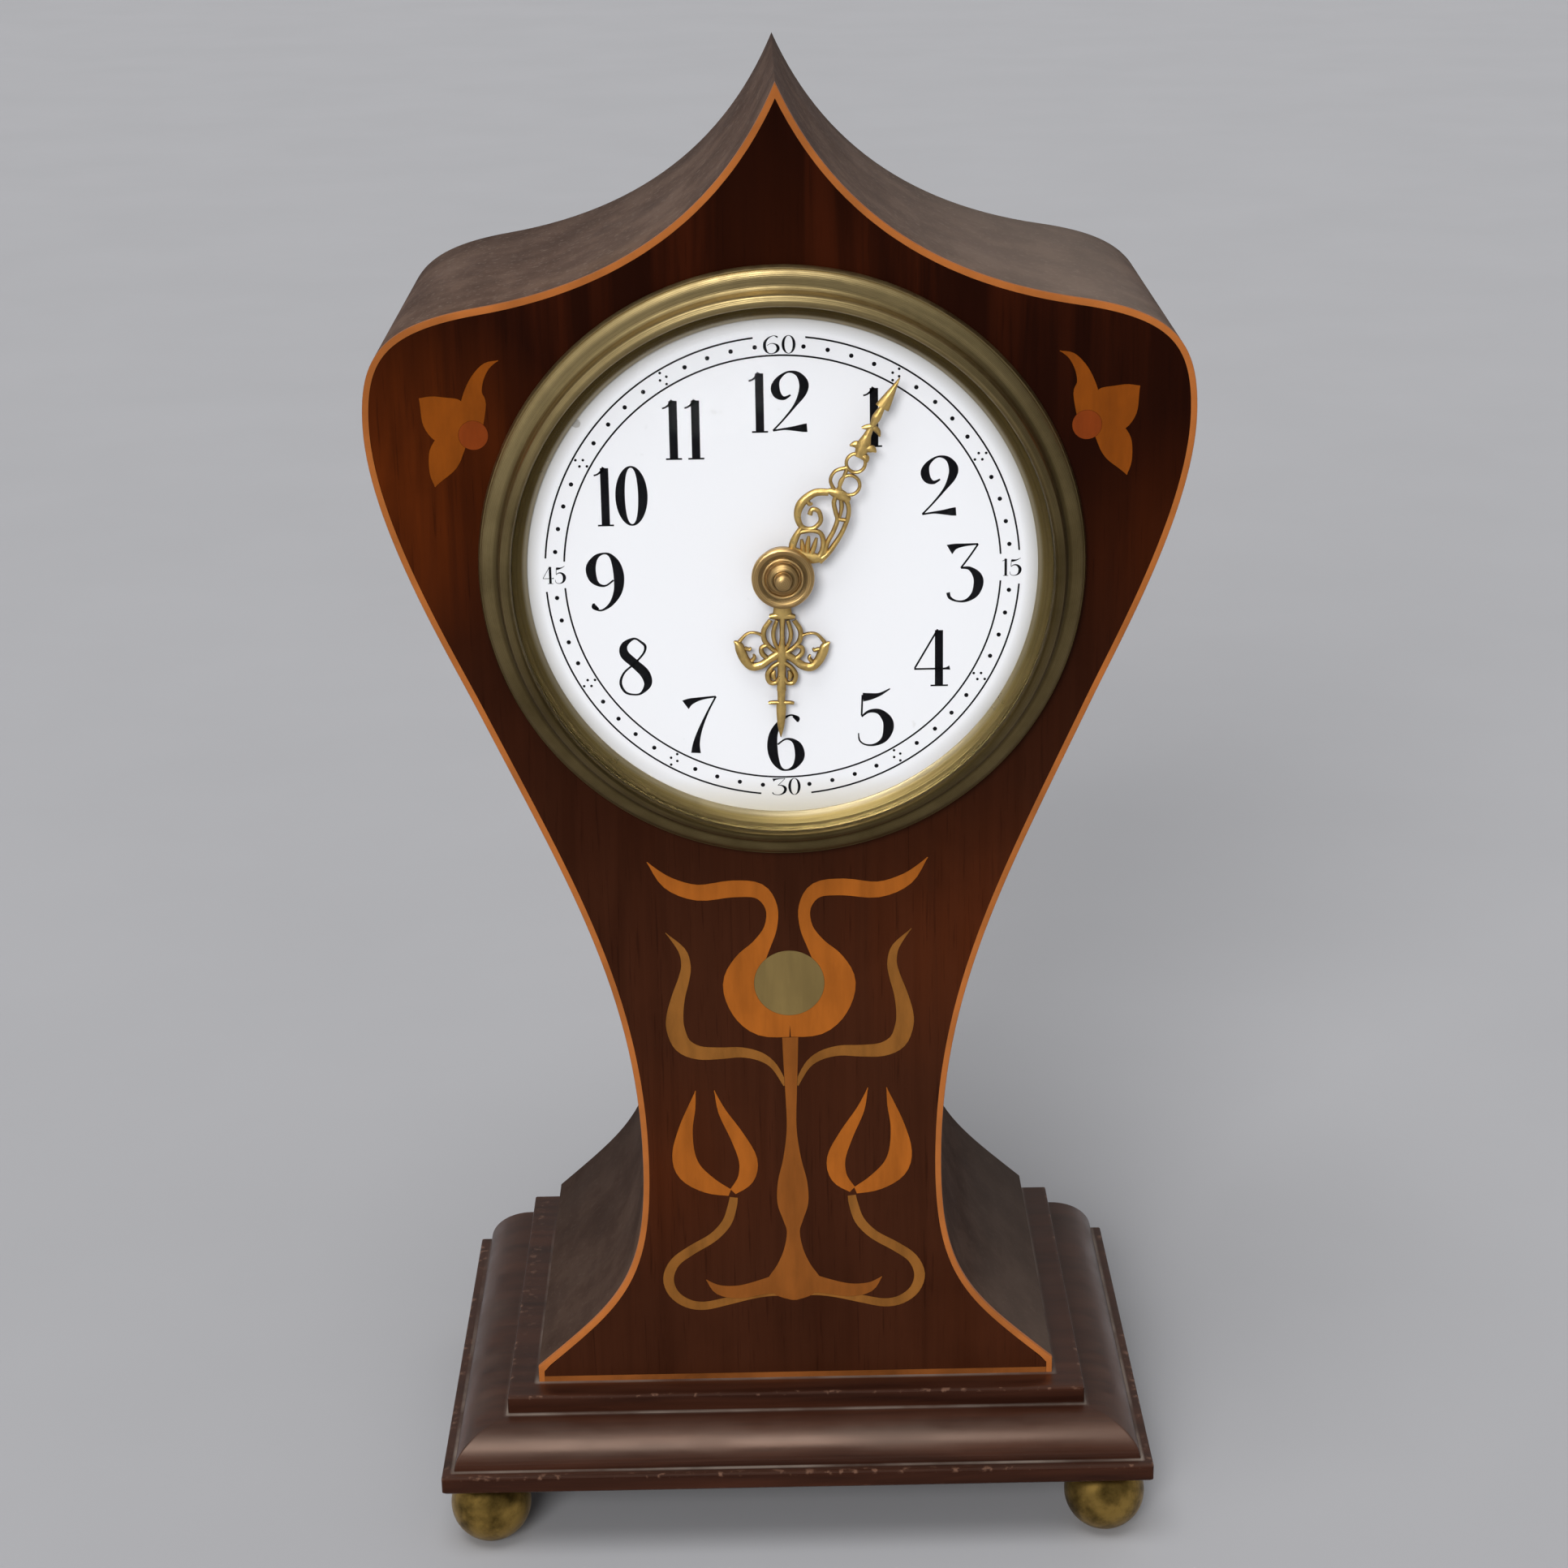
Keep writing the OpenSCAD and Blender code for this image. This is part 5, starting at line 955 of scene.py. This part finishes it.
class CLOCK_OT_case(bpy.types.Operator):
    """Bent sides and boxwood stringing round the front"""
    bl_idname = "clock.case"
    bl_label = "Case sides and stringing"

    def execute(self, context):
        case = context.scene.clock_case
        r = case.edge_round / MM
        wood = side_wood(case)
        box = inlay_wood("boxwood_line", case.stringing, 0.72, (60, 500, 60))
        side_section = ((0, VENEER_T), (0, CASE_DEPTH - r), (0.3 * r, CASE_DEPTH - 0.3 * r),
                        (r, CASE_DEPTH), (SIDE_T, CASE_DEPTH), (SIDE_T, VENEER_T))
        line_section = ((0, VENEER_T), (0, 0.6 * r), (0.2 * r, 0.15 * r), (0.7 * r, 0),
                        (STRING_W, 0), (STRING_W, VENEER_T))
        for word, side in (("left", -1), ("right", 1)):
            bent = outline_sweep(case.outline_steps, side_section, side)
            piece("bent_side_" + word, bent, wood, "case", ["side_" + word])
            line = outline_sweep(case.outline_steps, line_section, side)
            piece("stringing_line_" + word, line, box, "case", ["stringing_" + word])
        # The bottom line is drawn darker than the others
        darkened = [0.6 * c for c in case.stringing]
        paint_nodes(inlay_wood("boxwood_grimy", darkened, 0.5, (60, 500, 60)), "stringing_bottom")
        return {"FINISHED"}


def stepped(node, steps, corner, back=None):
    """Stacked rings about a node's box, each with its inset, height, dust with any painted sheen,
    and wear.
    """
    low, high = measured(node)
    rings = [(high.x - inset, low.y + inset, low.z + z, dust, wear)
             for inset, z, dust, wear in steps]
    return stacked(rings, high.y if back is None else back, corner)


class CLOCK_OT_plinth(bpy.types.Operator):
    """Top slab, ovolo moulding and bottom slab"""
    bl_idname = "clock.plinth"
    bl_label = "Plinth"

    def execute(self, context):
        case = context.scene.clock_case
        r = case.edge_round / MM
        wood = plinth_wood(case)
        top_low, top_high = measured("plinth_top")
        low, high = measured("moulding_front")
        bottom_low, bottom_high = measured("plinth_bottom")

        t = top_high.z - top_low.z
        step = top_high.x - FOOT_HALF
        top = ((4, 0, 0, 0), (0, 0, 0.8, 0), (0, 0.2, 0.5, 0), (0, 0.4, 0, 0), (0, t - 2 * r, 0, 0),
               (0, t - r, 0, 1), (0.3 * r, t - 0.3 * r, 0, 1), (r, t, 0, 1), (2.4 * r, t, 0, 0),
               (step - 1.0, t, 0, 0), (step - 0.5, t, 0.7, 0), (step + 0.3, t, 0.9, 0))
        piece("plinth_top_slab", stepped("plinth_top", top, SLAB_CORNER_R), wood,
              "case", ["plinth_top"])

        reach = high.x - top_high.x
        rise = high.z - low.z
        quirk = 1.0
        curve = [(reach + 3, 0, 0, 0), (0.0, 0, 0.8, 0), (0.0, 0.25, 0, 0)]
        for k in range(1, OVOLO_STEPS + 1):
            a = math.radians(5 + 85 * k / OVOLO_STEPS)
            # Painted sheen: a little of the dust colour along the middle of the ovolo
            dust = 0.1 * math.sin(math.pi * k / (OVOLO_STEPS + 1)) ** 2
            curve.append(((reach - quirk) * (1 - math.cos(a)), rise * math.sin(a), dust, 0))
        curve += [(reach - 0.55, rise, 0.2, 0), (reach - 0.3, rise, 0.9, 0),
                  (reach + 0.6, rise, 1, 0)]
        back = measured("moulding_right")[1].y
        piece("ovolo_moulding", stepped("moulding_front", curve, OVOLO_CORNER_R, back), wood,
              "case",
              ["moulding_front", "moulding_left", "moulding_right", "plinth_core"])

        t = bottom_high.z - bottom_low.z
        ledge = bottom_high.x - high.x
        bottom = ((6, 0, 0, 0), (r, 0, 0, 0), (0, r, 0, 0.4), (0, 1.6 * r, 0, 0),
                  (0, t - 2.2 * r, 0, 0), (0, t - r, 0, 1), (0.3 * r, t - 0.3 * r, 0, 1),
                  (r, t, 0, 1), (ledge - 0.8, t, 0, 0), (ledge - 0.4, t, 0.8, 0),
                  (ledge + 0.3, t, 1, 0))
        piece("plinth_bottom_slab", stepped("plinth_bottom", bottom, SLAB_CORNER_R), wood,
              "case", ["plinth_bottom"])
        return {"FINISHED"}


class CLOCK_OT_feet(bpy.types.Operator):
    """Four ball feet, stamped under the plinth"""
    bl_idname = "clock.feet"
    bl_label = "Ball feet"

    def execute(self, context):
        metal = context.scene.clock_metal
        brass = cast_metal("foot_brass", metal.foot, FOOT_DARK, 0.3, 0.8)
        nodes = ["foot_front_left", "foot_front_right", "foot_back_left", "foot_back_right"]
        places = []
        for node in nodes:
            low, high = measured(node)
            places.append(((low.x + high.x) / 2, (low.y + high.y) / 2, 0))
        ball = (measured(nodes[0])[1].x - measured(nodes[0])[0].x) / 2
        height = measured("plinth_bottom")[0].z
        middle = math.sqrt(ball * ball - FOOT_FLAT_R * FOOT_FLAT_R)
        profile = [(0, 0), (FOOT_FLAT_R - 0.3, 0)]
        top = math.asin((height - middle) / ball)
        start = -math.asin(middle / ball)
        for k in range(FOOT_STEPS + 1):
            a = start + (top - start) * k / FOOT_STEPS
            profile.append((ball * math.cos(a), middle + ball * math.sin(a)))
        profile.append((0, height))
        points = [(r * c, r * s, z) for c, s in turns(ROUND_SEGMENTS) for r, z in profile]
        faces = tube_faces(ROUND_SEGMENTS, len(profile), True)
        mould = piece("foot_mould", (points, faces), brass, "case")

        def shape(tree, source):
            info = tree.nodes.new("GeometryNodeObjectInfo")
            tree.links.new(source.outputs["Foot"], info.inputs["Object"])
            return info.outputs["Geometry"]

        feet = stamped("ball_feet", places, [1.0] * len(places), shape,
                       {"Foot": ("NodeSocketObject", mould)}, brass)
        bpy.data.objects.remove(mould)
        dressed(feet, "case", nodes)
        return {"FINISHED"}


class CLOCK_OT_bezel(bpy.types.Operator):
    """Turned bezel with its ridges, sight ring and glass"""
    bl_idname = "clock.bezel"
    bl_label = "Bezel, sight ring and glass"

    def execute(self, context):
        metal = context.scene.clock_metal
        dark = metal.bezel_tarnish_and_shade
        grooves = [(*groove, dark) for groove in BEZEL_GROOVES]
        # Painted shade: the bezel darkens towards its lower right
        brass = turned_brass("bezel_brass", metal.bezel, dark, 26, 0.36, 0.5, grooves,
                             shade_slope=(-8, 40, 0.74))
        profile = [(BEZEL_BORE_R, 0), (BEZEL_R - 0.4, 0), (BEZEL_R, -0.4)]
        for ridge in BEZEL_RIDGES:
            profile += arc(*ridge)
        profile.append((BEZEL_BORE_R, -6.1))
        piece("bezel_ring", turned(profile, RING_SEGMENTS), brass, "case", ["bezel"],
              sharp=RIDGE_SHARP)

        grooves = ((45.4, 0.8, 0.6, dark), (43.6, 0.8, 0.55, SIGHT_PALE))
        # Painted shadow: the sight ring darkens towards its upper left
        gilt = turned_brass("sight_ring_gilt", metal.sight, dark, 12, 0.3, 0.3, grooves,
                            shade_slope=(26, -30, 0.8))
        face = DIAL_FACE_S
        lip, seat = face - SIGHT_LIP, face + SIGHT_SEAT
        reveal = [(SIGHT_R, lip), (45.2, lip), (45.0, lip + 0.1), (43.7, face - 0.4),
                  (SIGHT_BORE_R, face - 0.3), (SIGHT_BORE_R, face), (SIGHT_SEAT_R, face),
                  (SIGHT_SEAT_R, seat), (SIGHT_R, seat)]
        piece("sight_reveal", turned(reveal, RING_SEGMENTS), gilt, "case", ["sight_ring"])

        low, high = measured("glass")
        rim, front = high.x, low.y - CASE_FRONT
        outwards = range(GLASS_STEPS + 1)
        dome = []
        for radius, steps in ((GLASS_R, outwards), (GLASS_R - GLASS_T, reversed(outwards))):
            for k in steps:
                a = math.asin(rim / radius) * k / GLASS_STEPS
                dome.append((radius * math.sin(a), front + GLASS_R - radius * math.cos(a)))
        clear = glass_finish()
        piece("glass_dome", turned(dome, GLASS_SEGMENTS), clear, "case", ["glass"])
        return {"FINISHED"}


def thick(width):
    """A stroke's width: the thick ones are drawn bolder, hairlines stay."""
    return width * (1 + BOLD_GAIN * min(1, max(0, (width - HAIRLINE_W) / BOLD_SPAN)))


def figure_parts(text, height, x, up, place, level, stretch=1.0):
    """Stroke shells of a number centred on a place of the dial and drawn out sideways."""
    keys = ["6" if c == "9" else c for c in text]
    left = -(sum(FIGURES[key][0] for key in keys) + FIGURE_GAP * (len(text) - 1)) / 2
    parts = []

    def stroke(line, closed=False):
        row = [((left + across) * height * stretch + x, (rise - 0.5) * height + up,
                thick(wide) * height) for across, rise, wide in line]
        parts.append(ribbon(row, FLAT, level, place, closed))

    for c, key in zip(text, keys):
        width, strokes = FIGURES[key]
        for line in map(smooth_line, strokes):
            stroke([(width - p.x, 1 - p.y, p.z) for p in line] if c == "9" else line)
        if c == "0":
            (middle, centre), (half, tall) = ZERO_MIDDLE, ZERO_RADII
            stroke([(middle + half * a, centre + tall * b, ZERO_THIN + ZERO_SWELL * abs(a) ** 1.5)
                    for a, b in turns(ROUND_SEGMENTS)], closed=True)
        left += width + FIGURE_GAP
    return parts


class CLOCK_OT_dial(bpy.types.Operator):
    """Enamel, hour figures, minute track and its dots"""
    bl_idname = "clock.dial"
    bl_label = "Dial"

    def execute(self, context):
        dial = context.scene.clock_dial
        paint_nodes(enamel_finish(dial), "dial")
        black = paint_finish(dial)
        paint_t = dial.paint_height / MM

        def level(width):
            return paint_t

        def place(x, up, h):
            return on_dial(x, up, DIAL_FACE_S + PAINT_SINK - h)

        parts = []
        for text, x, up in HOUR_PLACES:
            parts += figure_parts(text, dial.figure_height / MM, x, up, place, level)
        piece("hour_figures", joined(*parts), black, "case")

        parts = []
        for text, x, up, stretch in MINUTE_PLACES:
            parts += figure_parts(text, dial.minute_height / MM, x, up, place, level, stretch)
        line_w = dial.track_line / MM
        for radius, gaps in ((dial.track_outer, OUTER_GAPS), (dial.track_inner, INNER_GAPS)):
            radius /= MM
            for quarter in range(4):
                start = 90 * quarter + gaps[(quarter + 1) % 4]
                end = 90 * quarter + 90 - gaps[(quarter + 2) % 4]
                row = []
                for k in range(TRACK_STEPS + 1):
                    a = math.radians(start + (end - start) * k / TRACK_STEPS)
                    row.append((radius * math.cos(a), radius * math.sin(a), line_w))
                parts.append(ribbon(row, FLAT, level, place))
        piece("minute_track", joined(*parts), black, "case")

        places, sizes = [], []
        ring = dial.dot_radius / MM
        for minute in range(60):
            if minute % 15 == 0:
                continue
            a = math.radians(90 - 6 * minute)
            for out, aside, scale in FOUR_DOTS if minute % 5 == 0 else SINGLE_DOT:
                x = (ring + out) * math.cos(a) - aside * math.sin(a)
                up = (ring + out) * math.sin(a) + aside * math.cos(a)
                places.append(place(x, up, paint_t / 2))
                sizes.append(scale)

        def shape(tree, source):
            disc = tree.nodes.new("GeometryNodeMeshCylinder")
            disc.inputs["Vertices"].default_value = DOT_SEGMENTS
            half = tree.nodes.new("ShaderNodeMath")
            half.operation = "MULTIPLY"
            half.inputs[1].default_value = 0.5
            tree.links.new(source.outputs["Dot Diameter"], half.inputs[0])
            tree.links.new(half.outputs[0], disc.inputs["Radius"])
            tree.links.new(source.outputs["Dot Height"], disc.inputs["Depth"])
            turn = tree.nodes.new("GeometryNodeTransform")
            turn.inputs["Rotation"].default_value = (math.pi / 2, 0, 0)
            tree.links.new(disc.outputs["Mesh"], turn.inputs["Geometry"])
            return turn.outputs["Geometry"]

        dots = stamped("minute_dots", places, sizes, shape,
                       {"Dot Diameter": ("NodeSocketFloat", dial.dot_size),
                        "Dot Height": ("NodeSocketFloat", dial.paint_height)}, black)
        dressed(dots, "case")
        return {"FINISHED"}


def hand_place(angle, back):
    """Puts a point of an upright hand where the turned hand has it."""
    c, s = math.cos(math.radians(angle)), math.sin(math.radians(angle))

    def place(x, up, h):
        return on_dial(x * c + up * s, up * c - x * s, back - h)
    return place


def hand_ring(x, up, radius, width):
    return [(x + radius * c, up + radius * s, width) for c, s in turns(HAND_RING_SEGMENTS)]


def hand_eye(bore, place):
    """The flat round of a hand about its arbor."""
    middle = (HAND_EYE_R + bore) / 2
    row = [(middle * c, middle * s, HAND_EYE_R - bore) for c, s in turns(ROUND_SEGMENTS)]
    return ribbon(row, FLAT, lambda width: HAND_EYE_T, place, closed=True)


class CLOCK_OT_hands(bpy.types.Operator):
    """Pierced gilt hands with rounded ribs"""
    bl_idname = "clock.hands"
    bl_label = "Hands"

    def execute(self, context):
        dial, metal = context.scene.clock_dial, context.scene.clock_metal
        relief = dial.hand_relief / MM

        def rise(width):
            return relief * min(1, 0.62 + 0.22 * width)

        place = hand_place(MINUTE_ANGLE, MINUTE_BACK_S)
        parts = [ribbon(smooth_line(line), ROUNDED, rise, place) for line in MINUTE_LINES]
        parts += [ribbon(hand_ring(*ring), ROUNDED, rise, place, closed=True)
                  for ring in MINUTE_RINGS]
        parts.append(hand_eye(MINUTE_BORE_R, place))
        gilt = hand_finish("minute_hand_gilt", metal, MINUTE_BACK_S)
        piece("minute_hand_gilt", joined(*parts), gilt, "minute_hand", ["minute_hand"],
              sharp=HAND_SHARP)

        place = hand_place(HOUR_ANGLE, HOUR_BACK_S)
        lines = [*HOUR_MIDDLE]
        for side in (-1, 1):
            lines += [[(side * x, up, w) for x, up, w in line] for line in HOUR_SIDES]
        parts = [ribbon(smooth_line(line), ROUNDED, rise, place) for line in lines]
        parts.append(hand_eye(HOUR_BORE_R, place))
        gilt = hand_finish("hour_hand_gilt", metal, HOUR_BACK_S)
        piece("hour_hand_gilt", joined(*parts), gilt, "hour_hand", ["hour_hand"],
              sharp=HAND_SHARP)

        bronze = turned_brass("boss_bronze", metal.boss, metal.boss_dark, 20, 0.3, 0.3,
                              ((3.9, 0.45, 0.7, metal.boss_dark),
                               (1.75, 0.3, 0.7, metal.boss_dark)))
        back = MINUTE_BACK_S - HAND_EYE_T
        profile = [(0, back), (5.2, back), (5.35, back - 0.2), (5.35, back - 0.6)]
        profile += arc((4.75, back - 0.7), (0.6, 0.6), 10, 90, 8)
        profile += [(4.3, back - 1.2), (3.7, back - 1.05)]
        profile += arc((3.3, back - 1.05), (0.35, 0.35), 0, 180, 8)
        profile += arc((0, back - 0.95), (2.8, 1.85), 4, 52, 12)
        tip = measured("centre_arbor")[0].y - CASE_FRONT
        profile += [(1.6, back - 2.3), (1.42, back - 2.3), (1.4, tip + 0.2)]
        profile += arc((0, tip + 0.15), (1.38, 0.5), 10, 90, 10)
        piece("boss_dome", turned(profile, BOSS_SEGMENTS), bronze, "minute_hand",
              ["hand_boss"])
        return {"FINISHED"}


def paint_nodes(material, *nodes):
    """Gives CAD nodes a finish."""
    for node in nodes:
        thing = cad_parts[node]
        if not thing.material_slots:
            thing.data.materials.append(material)
        for slot in thing.material_slots:
            slot.material = material


class CLOCK_OT_finishes(bpy.types.Operator):
    """Finishes of the veneer, inlay, boards, movement and back"""
    bl_idname = "clock.finishes"
    bl_label = "Finishes of the CAD pieces"

    def execute(self, context):
        case, metal = context.scene.clock_case, context.scene.clock_metal
        paint_nodes(front_wood(case), "front_veneer")
        for name, setting, darker, stretch, node in INLAYS:
            paint_nodes(inlay_wood(name, getattr(case, setting), darker, stretch), node)
        paint_nodes(carcase_wood(), "front_board", "back_board", "bottom_board")
        sheet = turned_brass("door_brass", metal.movement, MOVEMENT_DARK, 9, 0.28, 0.35)
        paint_nodes(sheet, "back_door", "rear_ring", "drum")
        plates = cast_metal("movement_brass", metal.movement, MOVEMENT_DARK, 0.24, 0.3)
        paint_nodes(plates, "front_plate", "back_plate", "pillars", "barrel", "barrel_cap",
                    "intermediate_wheel", "centre_wheel", "third_wheel", "fourth_wheel",
                    "minute_wheel", "hour_wheel", "setting_knob", "balance")
        steel = cast_metal("bright_steel", metal.steel, STEEL_DARK, 0.22, 0.4)
        paint_nodes(steel, "winding_arbor", "ratchet_wheel", "click", "winding_key", "centre_arbor",
                    "escape_wheel", "pallet_lever", "regulator", "tie_screws", "hinge_pin")
        blue = cast_metal("blued_steel", metal.blued, BLUED_DARK, 0.2, 0.5)
        paint_nodes(blue, "mainspring", "hairspring")
        return {"FINISHED"}


def add_sun(name, strength, toward, angle, diffuse=True, glossy=False):
    """A soft lamp far away, which lights surfaces, shows in them as a highlight, or both."""
    lamp = bpy.data.lights.new(name, "SUN")
    lamp.energy = strength
    lamp.angle = angle
    thing = bpy.data.objects.new(name, lamp)
    thing.rotation_euler = Vector(toward).to_track_quat("-Z", "Y").to_euler()
    thing.visible_diffuse = diffuse
    thing.visible_glossy = glossy
    bpy.context.scene.collection.objects.link(thing)


class CLOCK_OT_stage(bpy.types.Operator):
    """Floor, light and camera"""
    bl_idname = "clock.stage"
    bl_label = "Stage"

    def execute(self, context):
        scene, stage = context.scene, context.scene.clock_stage
        mesh = bpy.data.meshes.new("floor")
        rings = []
        for step in range(FLOOR_STEPS + 1):
            lean = math.pi / 2 * step / FLOOR_STEPS
            rings.append((FLOOR_R + RIM_H * math.sin(lean), RIM_H * (1 - math.cos(lean))))
        points = [(r * c, r * s, z) for r, z in rings for c, s in turns(FLOOR_SEGMENTS)]
        faces = tube_faces(len(rings), FLOOR_SEGMENTS, False)[:-1]
        mesh.from_pydata(points, [], [tuple(reversed(face)) for face in faces])
        mesh.polygons.foreach_set("use_smooth", [True] * len(mesh.polygons))
        mesh.materials.append(floor_finish(stage))
        floor = bpy.data.objects.new("floor", mesh)
        scene.collection.objects.link(floor)
        add_sun("key_light", stage.key, (0.27, 1, -0.5), stage.softness)
        add_sun("ceiling_light", stage.ceiling, (0.15, 0.3, -1), math.radians(36), glossy=True)
        add_sun("fill_light", stage.fill, (-0.8, 0.75, -0.6), math.radians(60))
        add_sun("back_light", stage.back, (-0.35, -1, -0.35), math.radians(70))
        add_sun("window_light", stage.window, (0.65, 0.45, -0.62), math.radians(60),
                diffuse=False, glossy=True)
        world = bpy.data.worlds.new("soft_room")
        world.use_nodes = True
        tree = world.node_tree
        sky = tree.nodes["Background"]
        sky.inputs["Color"].default_value = (0.97, 0.98, 1.0, 1)
        way = tree.nodes.new("ShaderNodeSeparateXYZ")
        rise = tree.nodes.new("ShaderNodeMapRange")
        rise.inputs["To Min"].default_value = stage.horizon
        rise.inputs["To Max"].default_value = stage.horizon + stage.zenith
        tree.links.new(tree.nodes.new("ShaderNodeTexCoord").outputs["Generated"], way.inputs[0])
        tree.links.new(way.outputs["Z"], rise.inputs["Value"])
        tree.links.new(rise.outputs["Result"], sky.inputs["Strength"])
        scene.world = world
        scene.view_settings.view_transform = "Standard"

        data = bpy.data.cameras.new("camera")
        data.sensor_width = 36
        data.lens = stage.lens
        data.clip_start = 0.01
        camera = bpy.data.objects.new("camera", data)
        cp, sp = math.cos(stage.pitch), math.sin(stage.pitch)
        cr, sr = math.cos(stage.roll), math.sin(stage.roll)
        aside = Vector((math.cos(stage.yaw), math.sin(stage.yaw), 0))
        ahead = Vector((-math.sin(stage.yaw), math.cos(stage.yaw), 0))
        up = Vector((0, 0, 1))
        forward = cp * ahead - sp * up
        over = sp * ahead + cp * up
        right = cr * aside + sr * over
        top = cr * over - sr * aside
        turn = Matrix((right, top, -forward)).transposed()
        camera.matrix_world = Matrix.Translation(stage.eye) @ turn.to_4x4()
        scene.collection.objects.link(camera)
        scene.camera = camera
        return {"FINISHED"}


class CLOCK_PT_panel(bpy.types.Panel):
    """The clock's pieces, one button each"""
    bl_idname = "CLOCK_PT_panel"
    bl_label = "Balloon clock"
    bl_space_type = "VIEW_3D"
    bl_region_type = "UI"
    bl_category = "Clock"

    def draw(self, context):
        for operator in OPERATORS:
            self.layout.operator(operator.bl_idname)
        for settings in SETTINGS:
            group = getattr(context.scene, settings)
            for key in group.__annotations__:
                self.layout.prop(group, key)


OPERATORS = (CLOCK_OT_case, CLOCK_OT_plinth, CLOCK_OT_feet, CLOCK_OT_bezel, CLOCK_OT_dial,
             CLOCK_OT_hands, CLOCK_OT_finishes, CLOCK_OT_stage)
SETTINGS = {"clock_case": CaseSettings, "clock_dial": DialSettings, "clock_metal": MetalSettings,
            "clock_stage": StageSettings}


def register():
    for group in SETTINGS.values():
        bpy.utils.register_class(group)
    for operator in OPERATORS:
        bpy.utils.register_class(operator)
    bpy.utils.register_class(CLOCK_PT_panel)
    for name, group in SETTINGS.items():
        setattr(bpy.types.Scene, name, PointerProperty(type=group))


def unregister():
    for name in SETTINGS:
        delattr(bpy.types.Scene, name)
    bpy.utils.unregister_class(CLOCK_PT_panel)
    for operator in reversed(OPERATORS):
        bpy.utils.unregister_class(operator)
    for group in reversed(SETTINGS.values()):
        bpy.utils.unregister_class(group)


def main():
    register()
    bpy.ops.clock.stage()
    bpy.ops.clock.case()
    bpy.ops.clock.plinth()
    bpy.ops.clock.feet()
    bpy.ops.clock.bezel()
    bpy.ops.clock.dial()
    bpy.ops.clock.hands()
    bpy.ops.clock.finishes()
    bpy.context.view_layer.update()


if __name__ == "__main__":
    main()
